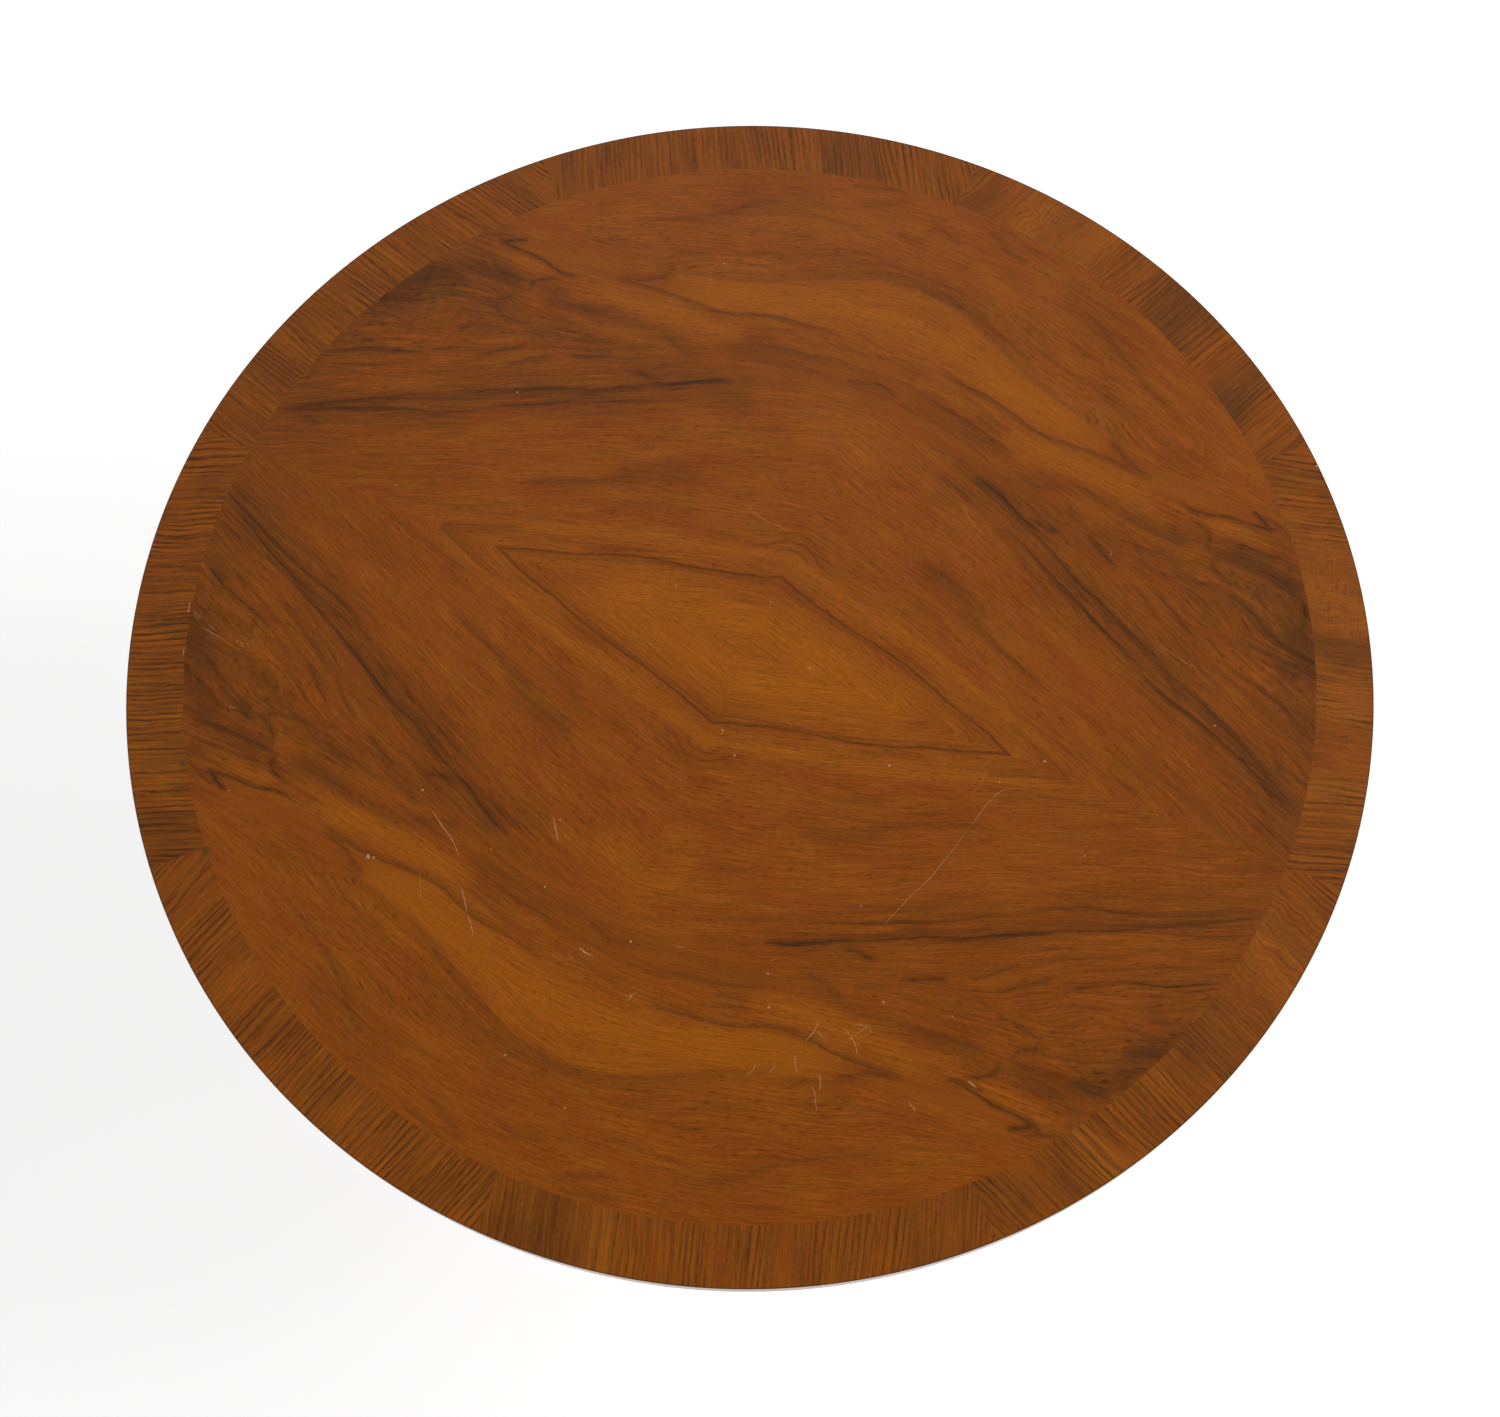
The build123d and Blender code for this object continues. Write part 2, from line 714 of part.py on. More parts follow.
# ---------------------------------------------------------------- castors, at angle 0
def castor_cup():
    """Tapered brass cup on the leg's toe, beaded at its mouth, with the swivel's boss under it."""
    shell = toe_form(cup_wall)
    tip = toe_reach + cup_wall
    along = [e for e in shell.edges() if toe_start < e.center().X < tip - cup_wall]
    shell = fillet(along, cup_corner_round)
    shell = fillet(shell.faces().sort_by(Axis.X)[-1].edges(), cup_end_round)
    grown = 2 * (cup_wall + cup_bead_height)
    bead = Pos(toe_start + cup_bead_width / 2, 0, toe_bottom_z + toe_height / 2) * Box(
        cup_bead_width, toe_width + grown, toe_height + grown
    )
    bead = fillet(bead.edges().filter_by(Axis.X), cup_corner_round + cup_bead_height)
    mouth_and_back = bead.faces().filter_by(Axis.X)
    bead = fillet(mouth_and_back.edges(), cup_bead_round)
    boss = rod((swivel_reach, 0, boss_bottom_z), (0, 0, 1), fork_plate_diameter / 2, boss_height)
    pin = rod(
        (swivel_reach, 0, boss_bottom_z), (0, 0, 1), swivel_pin_diameter / 2, boss_height + cup_wall
    )
    return shell + bead + boss - toe_form(0) - pin - cup_screw_spaces


def swivel_pin():
    """Headed pin that holds the fork up to the cup and lets it swivel."""
    head = rod(
        (swivel_reach, 0, head_bottom_z), (0, 0, 1), swivel_head_diameter / 2, swivel_head_height
    )
    length = toe_bottom_z + swivel_pin_bite - head_bottom_z
    return head + rod((swivel_reach, 0, head_bottom_z), (0, 0, 1), swivel_pin_diameter / 2, length)


def castor_fork():
    """Round plate with two cheeks that trail behind it to the axle."""
    axle_x = swivel_reach + castor_trail
    plate = rod(
        (swivel_reach, 0, plate_bottom_z), (0, 0, 1), fork_plate_diameter / 2, fork_plate_thickness
    )
    plate -= rod(
        (swivel_reach, 0, plate_bottom_z),
        (0, 0, 1),
        swivel_pin_diameter / 2 + running_clearance,
        fork_plate_thickness,
    )
    eye = Pos(axle_x, wheel_radius) * Circle(fork_eye_diameter / 2)
    # a cheek hangs from the plate's edge, where the plate is still under it
    half_chord = math.sqrt((fork_plate_diameter / 2) ** 2 - cheek_outer_y**2)
    root = Pos(swivel_reach, plate_bottom_z + fork_plate_thickness / 2) * Rectangle(
        2 * half_chord, fork_plate_thickness
    )
    cheek_face = make_hull((eye + root).edges())
    fork = plate
    for side in (-1, 1):
        middle_y = side * (cheek_inner_y + cheek_outer_y) / 2
        fork += Pos(0, middle_y, 0) * extruded(Plane.XZ * cheek_face, fork_cheek_thickness)
    axle_hole = rod(
        (axle_x, -cheek_outer_y, wheel_radius), (0, 1, 0), axle_diameter / 2, 2 * cheek_outer_y
    )
    return fork - axle_hole


def castor_axle():
    """Pin through the cheeks, riveted over at both ends."""
    axle_x = swivel_reach + castor_trail
    pin = rod(
        (axle_x, -cheek_outer_y, wheel_radius), (0, 1, 0), axle_diameter / 2, 2 * cheek_outer_y
    )
    for side in (-1, 1):
        pin += rod(
            (axle_x, side * cheek_outer_y, wheel_radius), (0, side, 0), rivet_diameter / 2, rivet_height
        )
    return pin


def castor_wheel():
    """Brass wheel with a rim, a thin web and a hub that turns on the axle."""
    axle_x = swivel_reach + castor_trail
    bore = axle_diameter / 2 + running_clearance
    half = wheel_width / 2
    web = wheel_web_width / 2
    hub = wheel_hub_diameter / 2
    rim = wheel_radius - wheel_rim_thickness
    tread = half - wheel_tread_chamfer
    outline = Polyline(
        (bore, -half),
        (hub, -half),
        (hub, -web),
        (rim, -web),
        (rim, -half),
        (wheel_radius - wheel_tread_chamfer, -half),
        (wheel_radius, -tread),
        (wheel_radius, tread),
        (wheel_radius - wheel_tread_chamfer, half),
        (rim, half),
        (rim, web),
        (hub, web),
        (hub, half),
        (bore, half),
        close=True,
    )
    wheel = revolve(Plane.XZ * make_face(outline), Axis.Z)
    return Pos(axle_x, 0, wheel_radius) * (Rot(90, 0, 0) * wheel)


# ---------------------------------------------------------------- the assembly
nodes = {
    "core_board": core_board(),
    "edge_lipping": edge_lipping(),
    "balance_veneer": balance_veneer(),
    "bearer_screws": bearer_screws["left"] + bearer_screws["right"],
    "catch_case": catch_case(),
    "catch_case_screws": case_screws,
    "catch_bolt": catch_bolt(),
    "catch_knob": catch_knob(),
    "catch_spring": catch_spring(),
    "keeper_plate": keeper_plate(),
    "keeper_screws": keeper_screws,
    "top_block": top_block(),
    "tenon_wedge": tenon_wedge(),
    "column": column(),
    "brace_plate": brace_plate(),
    "brace_screws": around_all(brace_screws),
    "castor_swivel_pins": around(swivel_pin()),
    "castor_cup_screws": around_all(cup_screws),
}
for k in range(leaf_count):
    nodes[f"field_leaf_{k + 1}"] = field_leaf(k)
for k in range(crossband_count):
    nodes[f"crossband_{k + 1}"] = crossband(k)
for side_name, side in (("left", -1), ("right", 1)):
    nodes[f"bearer_{side_name}"] = bearer(side_name, side)
    nodes[f"pivot_bush_{side_name}"] = pivot_bush(side)
    nodes[f"pivot_bolt_{side_name}"] = pivot_bolt(side)
for name, shape in (
    ("leg", leg()),
    ("castor_cup", castor_cup()),
    ("castor_fork", castor_fork()),
    ("castor_axle", castor_axle()),
    ("castor_wheel", castor_wheel()),
):
    for k, copy in enumerate(around(shape)):
        nodes[f"{name}_{k + 1}"] = copy

os.makedirs("parts", exist_ok=True)
for name, shape in nodes.items():
    solids = Compound(children=list(shape)) if isinstance(shape, list) else shape
    export_step(solids, f"parts/{name}.step")
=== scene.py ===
# %% [markdown]
# # A tilt top table
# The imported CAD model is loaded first. It gives every sub-part of the table as a mesh, the bodies
# that those meshes ride on, and the joints between the bodies. Everything made below is placed by
# the boxes of those CAD nodes, in metres, in the same frame: the floor is z = 0, the column stands
# on the origin, and the top tilts about a line along X.

import json
import math

import bpy
import numpy as np
from mathutils import Matrix, Vector
from mathutils.bvhtree import BVHTree


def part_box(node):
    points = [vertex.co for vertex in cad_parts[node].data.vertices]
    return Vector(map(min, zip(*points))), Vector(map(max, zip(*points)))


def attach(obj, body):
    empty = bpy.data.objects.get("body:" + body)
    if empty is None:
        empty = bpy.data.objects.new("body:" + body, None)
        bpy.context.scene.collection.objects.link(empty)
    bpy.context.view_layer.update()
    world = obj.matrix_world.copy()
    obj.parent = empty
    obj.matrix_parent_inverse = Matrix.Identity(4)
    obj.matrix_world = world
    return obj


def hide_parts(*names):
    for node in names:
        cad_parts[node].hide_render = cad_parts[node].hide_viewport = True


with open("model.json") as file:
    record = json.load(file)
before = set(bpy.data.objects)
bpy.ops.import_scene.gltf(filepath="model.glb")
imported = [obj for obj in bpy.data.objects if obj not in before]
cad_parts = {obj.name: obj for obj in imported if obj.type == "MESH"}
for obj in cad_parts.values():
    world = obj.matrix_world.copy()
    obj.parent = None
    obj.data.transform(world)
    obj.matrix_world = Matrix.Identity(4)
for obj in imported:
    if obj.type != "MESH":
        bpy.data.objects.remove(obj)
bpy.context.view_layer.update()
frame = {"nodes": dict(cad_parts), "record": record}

# %% [markdown]
# The top's measures are read from the nodes that were made for it, so that a change in the CAD
# model carries through. The field is the round middle of the top, and the crossband is the border
# of short-grained veneer round it. Blender works in metres and a cabinet maker in millimetres, so
# one name for a thousandth turns one into the other.

# %% The top's measures
MM = 0.001
QUARTER = math.pi / 2  # a quarter of a turn, the angle of one leaf
EIGHTH = QUARTER / 2  # and of one crossband
LEG_ANGLES = [EIGHTH + QUARTER * number for number in range(4)]

lipping_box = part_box("edge_lipping")
leaf_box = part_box("field_leaf_1")
top_radius = lipping_box[1][0]
field_radius = leaf_box[1][0]
top_z = leaf_box[1][2]
veneer = leaf_box[1][2] - leaf_box[0][2]
print("top radius", top_radius, "field radius", field_radius, "height", top_z)


# %% [markdown]
# Colours are written as they look on a screen, from 0 to 255, because that is how anyone would
# pick them with an eye-dropper. Shaders work in linear light, so one small function converts.


# %% Colours
def colour(red, green, blue):
    """Screen colour to linear light: a straight foot below 0.04, then the power 2.4."""
    screen = np.array([red, green, blue]) / 255
    linear = np.where(screen < 0.04045, screen / 12.92, ((screen + 0.055) / 1.055) ** 2.4)
    return (*linear.tolist(), 1.0)


# %% [markdown]
# ## The camera
# The table is seen from above, from about 1.8 m over the top. The distances are written in radii
# of the top, from its centre, so that the view stays the same if the table is made larger. The
# camera is turned by a matrix made of its three axes: right, up, and backwards.

# %% Camera
camera_turn = math.radians(23.7)
camera_place = Vector((0.0346, -1.2979, 3.2188)) * top_radius
camera_right = Vector((0.99995, 0.0, -0.00989))
camera_up = Vector((0.00344, 0.93742, 0.34820))

turn = Matrix.Rotation(camera_turn, 3, "Z")
right = (turn @ camera_right).normalized()
back = right.cross(turn @ camera_up).normalized()
up = back.cross(right)
place = turn @ camera_place + Vector((0, 0, top_z))

camera_data = bpy.data.cameras.new("camera")
camera_data.sensor_width = 36.0  # millimetres, as is the lens
camera_data.lens = 51.7
camera = bpy.data.objects.new("camera", camera_data)
camera.matrix_world = Matrix.Translation(place) @ Matrix((right, up, back)).transposed().to_4x4()
bpy.context.scene.collection.objects.link(camera)
bpy.context.scene.camera = camera
print("camera at", place)


# %% [markdown]
# ## Meshes from arrays
# Every new piece is a surface on a grid of two parameters. `add_piece` takes the finished arrays
# and puts them into a mesh in one go. Numbers carried at each vertex, such as how dark a vein is
# there, become attributes that the material can read, three numbers to an attribute.


def add_piece(name, points, faces, body, material, attributes=None, replaced=(), smooth=True):
    """Makes a mesh object of points (n, 3) and faces, hangs it on its body, and hides the CAD nodes that
    it replaces.
    """
    mesh = bpy.data.meshes.new(name)
    mesh.from_pydata(points.tolist(), [], faces)
    mesh.polygons.foreach_set("use_smooth", np.full(len(mesh.polygons), smooth))
    for key, vectors in (attributes or {}).items():
        layer = mesh.attributes.new(key, "FLOAT_VECTOR", "POINT")
        layer.data.foreach_set("vector", vectors.ravel())
    mesh.materials.append(material)
    mesh.update()
    piece = bpy.data.objects.new(name, mesh)
    bpy.context.scene.collection.objects.link(piece)
    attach(piece, body)
    if replaced:
        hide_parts(*replaced)
    print(name, len(points), "points", len(faces), "faces")
    return piece


# %% [markdown]
# Most pieces are one grid: row i, column j. Where a grid runs round something, its last row or
# column is joined to its first.


# %% Faces of a grid
def grid_faces(rows, columns, start=0, wrap_rows=False, wrap_columns=False):
    """Four-sided faces of a grid whose vertex (i, j) is number start + i * columns + j."""
    i = np.arange(rows if wrap_rows else rows - 1)[:, None]
    j = np.arange(columns if wrap_columns else columns - 1)[None, :]
    i_next = (i + 1) % rows
    j_next = (j + 1) % columns
    corners = [i * columns + j, i_next * columns + j, i_next * columns + j_next, i * columns + j_next]
    return (np.stack(np.broadcast_arrays(*corners), -1).reshape(-1, 4) + start).tolist()


def outwards(points, faces):
    """The same faces, turned over where the closed surface is inside out (its volume is negative).

    Every face is cut into triangles a, b, c, and the volume is the sum of a . (b x c) / 6.
    """
    cuts = [(face[0], b, c) for face in faces for b, c in zip(face[1:-1], face[2:])]
    a, b, c = np.moveaxis(points[np.array(cuts)], 1, 0)
    return faces if (a * np.cross(b, c)).sum() > 0 else [face[::-1] for face in faces]


def swept(section, angles):
    """A section of (radius, height) carried round the table's axis; points, angle by angle."""
    radius, height = section.T
    x, y = np.outer(np.cos(angles), radius), np.outer(np.sin(angles), radius)
    return np.stack([x, y, np.broadcast_to(height, x.shape)], -1).reshape(-1, 3)


def turned_round(x, y, angle):
    """A place turned about the table's axis: x cos a - y sin a, x sin a + y cos a."""
    return x * math.cos(angle) - y * math.sin(angle), x * math.sin(angle) + y * math.cos(angle)


print("a grid of 3 by 4 vertices has", len(grid_faces(3, 4)), "faces")

# %% [markdown]
# ## Short ways to write a material
# A material is a graph of small nodes. These helpers add one node each, and take either a number
# or another node's output for every input, so that the finishes below read like formulas.
#
# Noise gathers about a half. So a remap that starts from 0.34 to 0.66 takes in nearly all of it,
# and one that starts from 0.60 to 0.70 takes in its rare peaks alone.


# %% Material helpers
def new_finish(name, roughness, metallic=0.0):
    """An empty material with a Principled shader, and the two as a pair."""
    material = bpy.data.materials.new(name)
    material.use_nodes = True
    shader = material.node_tree.nodes["Principled BSDF"]
    shader.inputs["Roughness"].default_value = roughness
    shader.inputs["Metallic"].default_value = metallic
    print("finish", name)
    return material, shader


def feed(tree, socket, value):
    """Puts a number, a colour or another node's output into a socket."""
    if isinstance(value, bpy.types.NodeSocket):
        tree.links.new(value, socket)
    else:
        socket.default_value = value


def calc(tree, operation, first, second=0.0, clamp=False):
    """One sum, such as MULTIPLY or SUBTRACT, of two numbers."""
    node = tree.nodes.new("ShaderNodeMath")
    node.operation = operation
    node.use_clamp = clamp
    feed(tree, node.inputs[0], first)
    feed(tree, node.inputs[1], second)
    return node.outputs[0]


def times(tree, *values, clamp=False):
    """All the numbers multiplied together; clamp keeps the product between 0 and 1."""
    product = values[0]
    for value in values[1:]:
        product = calc(tree, "MULTIPLY", product, value)
    product.node.use_clamp = clamp
    return product


def stretch(tree, vector, scale):
    """A vector with each part multiplied by its own number."""
    node = tree.nodes.new("ShaderNodeVectorMath")
    node.operation = "MULTIPLY"
    feed(tree, node.inputs[0], vector)
    node.inputs[1].default_value = scale
    return node.outputs[0]


def noise(tree, vector, detail=2.0, roughness=0.5):
    """Soft random lumps, about one unit across, from 0 to 1 with most values near a half."""
    node = tree.nodes.new("ShaderNodeTexNoise")
    feed(tree, node.inputs["Vector"], vector)
    node.inputs["Scale"].default_value = 1.0
    node.inputs["Detail"].default_value = detail
    node.inputs["Roughness"].default_value = roughness
    return node.outputs["Fac"]


def remap(tree, value, low, high, new_low=0.0, new_high=1.0):
    """Carries the range low..high to new_low..new_high in a straight line, and stops at its ends."""
    node = tree.nodes.new("ShaderNodeMapRange")
    feed(tree, node.inputs["Value"], value)
    node.inputs["From Min"].default_value = low
    node.inputs["From Max"].default_value = high
    node.inputs["To Min"].default_value = new_low
    node.inputs["To Max"].default_value = new_high
    return node.outputs["Result"]


# A Mix node keeps sockets for every kind of value in one row. These are its two colours, and the
# colour that comes out.
FIRST_COLOUR, SECOND_COLOUR, MIXED_COLOUR = 6, 7, 2


def blend(tree, share, first, second, mode="MIX"):
    """A colour that goes from first to second as share goes from 0 to 1."""
    node = tree.nodes.new("ShaderNodeMix")
    node.data_type = "RGBA"
    node.blend_type = mode
    feed(tree, node.inputs[0], share)
    feed(tree, node.inputs[FIRST_COLOUR], first)
    feed(tree, node.inputs[SECOND_COLOUR], second)
    return node.outputs[MIXED_COLOUR]


def darken(tree, tone, lightness):
    """A colour multiplied by one number."""
    grey = tree.nodes.new("ShaderNodeCombineColor")
    for channel in range(3):
        tree.links.new(lightness, grey.inputs[channel])
    return blend(tree, 1.0, tone, grey.outputs[0], "MULTIPLY")


def attribute(tree, name):
    """The three numbers that a mesh carries at its vertices under that name."""
    node = tree.nodes.new("ShaderNodeAttribute")
    node.attribute_name = name
    return node.outputs["Vector"]


def place_in_space(tree):
    """Where a point of the surface is, in metres."""
    return tree.nodes.new("ShaderNodeTexCoord").outputs["Object"]


def part_of(tree, vector, axis):
    """The X, Y or Z part of a vector."""
    node = tree.nodes.new("ShaderNodeSeparateXYZ")
    feed(tree, node.inputs[0], vector)
    return node.outputs[axis]


def parts_of(tree, vector):
    """All three parts of a vector."""
    return [part_of(tree, vector, axis) for axis in "XYZ"]


def bump(tree, shader, height, depth):
    """Lets the light see a relief of that depth in metres, without moving the surface."""
    node = tree.nodes.new("ShaderNodeBump")
    feed(tree, node.inputs["Height"], height)
    node.inputs["Distance"].default_value = depth
    tree.links.new(node.outputs["Normal"], shader.inputs["Normal"])


# %% [markdown]
# ## The figure of the veneer
# The field is four leaves of one sheet, sliced one after another and opened like a book, so each
# is the mirror image of its neighbours. One drawing therefore serves all four: it is made in
# millimetres from the centre of the table, x along one seam and y along the other.
#
# Wood could be painted by noise alone, but then the veins would fall anywhere. Here the veins
# that give this top its diamond, its long double streak and its hooks are drawn as a few points
# each, and numpy works out for every vertex how far it is from each stroke. A stroke
# is crisp on one side and fades slowly on the other, as the edge of a growth ring does.

# %% Strokes of dark wood
# Each row: darkness, width above the line, width below it, and the points it goes through.
DARK_STROKES = [
    # the diamond round the centre
    (0.72, 1.2, 2.2, [(0, 76), (30, 66), (60, 58), (100, 48), (130, 40), (165, 29), (205, 15), (248, 0)]),
    (0.34, 1.0, 1.8, [(0, 69), (40, 58), (90, 47), (125, 37), (155, 27), (185, 17), (215, 5)]),
    (0.30, 2.0, 4.0, [(110, 53), (150, 41), (178, 30)]),
    (0.38, 3.0, 7.0, [(235, 28), (255, 20), (275, 12), (300, 2)]),
    (0.28, 2.0, 3.0, [(250, 47), (268, 39), (285, 32)]),
    (0.26, 2.0, 4.0, [(0, 121), (14, 118), (28, 108), (42, 103)]),
    # the small curls at its two blunt corners
    (0.46, 1.2, 2.0, [(0, 111), (9, 112), (18, 107), (27, 99), (40, 93)]),
    (0.38, 1.0, 1.6, [(0, 104), (8, 104), (14, 99), (18, 92)]),
    # the soft band outside the diamond
    (0.34, 9.0, 9.0, [(105, 136), (132, 131), (158, 120), (185, 108)]),
    (0.45, 3.5, 7.0, [(158, 113), (185, 102), (205, 90), (222, 84), (240, 76), (258, 70)]),
    (0.28, 2.5, 5.0, [(115, 103), (140, 94), (168, 84)]),
    (0.22, 2.0, 4.0, [(230, 40), (300, 22), (380, 8)]),
    # the long double streak
    (0.95, 3.0, 6.0, [(118, 240), (135, 234), (150, 227), (168, 217), (190, 206)]),
    (0.80, 2.6, 6.0, [(180, 211), (205, 197), (240, 179), (270, 168), (300, 153), (330, 138), (360, 122)]),
    (0.66, 2.4, 6.0, [(345, 130), (385, 112), (415, 96), (440, 82), (465, 67), (498, 50)]),
    (0.55, 1.4, 3.5, [(135, 214), (185, 190), (220, 174), (255, 159), (290, 140), (330, 117)]),
    (0.62, 1.4, 3.5, [(310, 129), (335, 114), (365, 100), (395, 92), (430, 78), (470, 58), (500, 46)]),
    (0.30, 1.5, 3.0, [(400, 108), (450, 88), (500, 74)]),
    (0.25, 1.5, 3.0, [(290, 118), (340, 98), (400, 76), (450, 56)]),
    (0.26, 1.5, 3.0, [(55, 242), (80, 232), (105, 222), (135, 208), (165, 190), (200, 172), (250, 148)]),
    # flecks above the streak
    (0.60, 3.5, 5.0, [(178, 217), (195, 214), (212, 216)]),
    (0.65, 3.0, 4.0, [(236, 222), (250, 217), (262, 211), (274, 205)]),
    (0.52, 2.6, 4.0, [(288, 197), (300, 189), (314, 178), (324, 170)]),
    (0.55, 3.0, 4.0, [(312, 200), (325, 188), (340, 177), (354, 166)]),
    (0.34, 2.5, 4.0, [(366, 172), (380, 165), (394, 158)]),
    (0.30, 2.0, 3.5, [(325, 170), (345, 156), (370, 143), (400, 128), (430, 112)]),
    # the level cloud and the shade that it opens into
    (0.45, 8.0, 9.0, [(150, 252), (185, 261), (215, 263), (250, 261), (290, 257), (330, 252)]),
    (0.60, 5.0, 5.0, [(258, 257), (290, 254), (322, 250)]),
    (0.45, 4.0, 5.0, [(158, 254), (172, 251), (188, 256), (202, 263)]),
    (0.35, 4.0, 4.0, [(204, 247), (214, 239), (230, 236)]),
    (0.26, 2.0, 3.5, [(236, 236), (270, 232), (302, 229)]),
    (0.75, 8.0, 9.0, [(340, 250), (370, 256), (400, 254), (434, 246)]),
    (0.60, 14.0, 16.0, [(398, 248), (428, 236), (446, 212), (460, 188), (474, 162)]),
    (0.62, 6.0, 8.0, [(428, 207), (446, 198), (466, 186)]),
    (0.62, 2.2, 4.0, [(398, 153), (420, 146), (445, 138), (466, 128), (488, 115)]),
    (0.35, 2.0, 3.0, [(380, 150), (410, 137), (440, 124), (475, 108)]),
    # the hook and the marks under it
    (0.78, 2.6, 3.6, [(304, 288), (320, 284), (345, 288), (366, 288), (382, 291), (392, 298)]),
    (0.90, 3.4, 3.4, [(362, 303), (370, 298), (378, 293), (385, 288)]),
    (0.50, 1.6, 2.4, [(374, 302), (390, 296), (407, 290)]),
    (0.55, 3.0, 3.0, [(316, 277), (331, 269), (338, 261), (336, 252)]),
    (0.55, 3.2, 4.0, [(344, 247), (351, 238), (361, 231), (371, 227)]),
    (0.48, 3.2, 4.0, [(316, 222), (332, 219), (346, 220), (362, 225)]),
    (0.30, 2.5, 3.0, [(298, 208), (310, 213), (324, 211)]),
    # the veins of the golden part
    (0.60, 1.6, 5.0, [(46, 327), (75, 322), (105, 320), (130, 314), (150, 306), (172, 302), (200, 302)]),
    (0.55, 1.6, 4.0, [(165, 304), (200, 302), (235, 303), (268, 299)]),
    (0.50, 4.5, 3.0, [(218, 323), (234, 312), (252, 305), (272, 300)]),
    (0.30, 1.6, 3.0, [(78, 313), (100, 308), (120, 300), (138, 293)]),
    (0.24, 1.6, 3.0, [(0, 318), (20, 315), (46, 314)]),
    (0.42, 3.0, 5.0, [(36, 297), (60, 292), (85, 290), (108, 285), (130, 277), (150, 271)]),
    (0.32, 3.0, 5.0, [(98, 297), (115, 292), (132, 284)]),
    (0.45, 3.0, 5.0, [(0, 290), (10, 286), (22, 280)]),
    (0.26, 2.0, 5.0, [(0, 300), (30, 299), (60, 296)]),
    (0.34, 6.0, 6.0, [(58, 258), (90, 250), (118, 241)]),
    (0.30, 5.0, 5.0, [(20, 276), (60, 276), (110, 272), (160, 262)]),
    # the edge of the sapwood and the lines beyond it
    (0.42, 8.0, 3.0, [(0, 401), (30, 396), (60, 388), (85, 378), (110, 365), (135, 353), (160, 345)]),
    (0.36, 7.0, 3.0, [(140, 352), (165, 343), (190, 336), (215, 328), (238, 318)]),
    (0.34, 4.0, 6.0, [(152, 440), (180, 424), (200, 406), (222, 392), (248, 377), (280, 362)]),
    (0.48, 5.0, 5.0, [(38, 487), (60, 476), (86, 466)]),
    (0.36, 4.0, 5.0, [(0, 467), (8, 465), (20, 459)]),
    (0.36, 3.0, 4.0, [(48, 494), (75, 488), (102, 482)]),
    (0.24, 2.0, 4.0, [(60, 440), (90, 437), (125, 436), (150, 430)]),
    (0.22, 2.0, 4.0, [(100, 412), (150, 404), (190, 394)]),
    (0.22, 2.0, 4.0, [(120, 384), (150, 378), (180, 366)]),
]
print(len(DARK_STROKES), "strokes of dark wood")

# %% [markdown]
# Golden wood lies between the veins in broad soft strokes, written in the same way.

# %% Strokes of golden wood
GOLD_STROKES = [
    (0.70, 26.0, 22.0, [(0, 358), (50, 352), (100, 341), (150, 328), (190, 320), (222, 314)]),
    (0.60, 11.0, 11.0, [(132, 290), (170, 287), (210, 283), (250, 282), (292, 281)]),
    (0.35, 10.0, 8.0, [(0, 388), (40, 384), (80, 372)]),
    (0.85, 26.0, 34.0, [(0, 26), (50, 20), (90, 12), (130, 0)]),
    (0.55, 6.0, 8.0, [(0, 95), (50, 82), (110, 68), (160, 56), (210, 40), (250, 26), (300, 8)]),
    (0.35, 22.0, 22.0, [(0, 238), (24, 222), (44, 200)]),
    (0.40, 6.0, 8.0, [(330, 278), (360, 277), (395, 278)]),
    (0.20, 12.0, 12.0, [(40, 430), (100, 428), (160, 420)]),
    (0.25, 12.0, 14.0, [(150, 30), (200, 15), (250, 0)]),
]
print(len(GOLD_STROKES), "strokes of golden wood")

# %% [markdown]
# Where heartwood meets sapwood the sheet is clouded. The clouds are broader still, and greyer
# than the veins.

# %% Clouds of umber wood
UMBER_CLOUDS = [
    (0.42, 18.0, 24.0, [(96, 246), (130, 236), (180, 226), (240, 224), (300, 226), (360, 224)]),
    (0.55, 34.0, 46.0, [(330, 226), (390, 220), (440, 205), (490, 178)]),
    (0.50, 40.0, 64.0, [(512, 180), (506, 120), (506, 60), (514, 0)]),
    (0.30, 16.0, 20.0, [(160, 206), (200, 186), (250, 164), (300, 142), (360, 112), (430, 82), (500, 52)]),
    (0.32, 26.0, 26.0, [(200, 176), (260, 170), (330, 150), (400, 120)]),
    (0.22, 14.0, 16.0, [(108, 134), (135, 128), (160, 116), (188, 104)]),
    (0.22, 12.0, 18.0, [(0, 285), (40, 286), (90, 280), (140, 268)]),
    (0.26, 14.0, 18.0, [(90, 215), (120, 225), (150, 232)]),
    (0.30, 16.0, 22.0, [(330, 120), (390, 96), (450, 66), (500, 36)]),
    (0.20, 20.0, 26.0, [(300, 60), (370, 36), (450, 10)]),
    (0.35, 10.0, 12.0, [(300, 262), (340, 262), (400, 258)]),
    (0.34, 34.0, 40.0, [(372, 318), (412, 276), (444, 226), (470, 160), (482, 110)]),
    (0.22, 16.0, 12.0, [(0, 408), (50, 404), (100, 392), (150, 372)]),
    (0.22, 26.0, 26.0, [(120, 456), (175, 438), (220, 408)]),
    (0.16, 18.0, 14.0, [(170, 366), (220, 344), (270, 330), (330, 322)]),
]
print(len(UMBER_CLOUDS), "clouds of umber wood")

# %% [markdown]
# A smooth line through a stroke's points is a Catmull-Rom curve: between two points it is a
# cubic whose slopes at both ends are half the way from the point before to the point after. For
# every vertex near the line, numpy then keeps the nearest of its short straight runs.


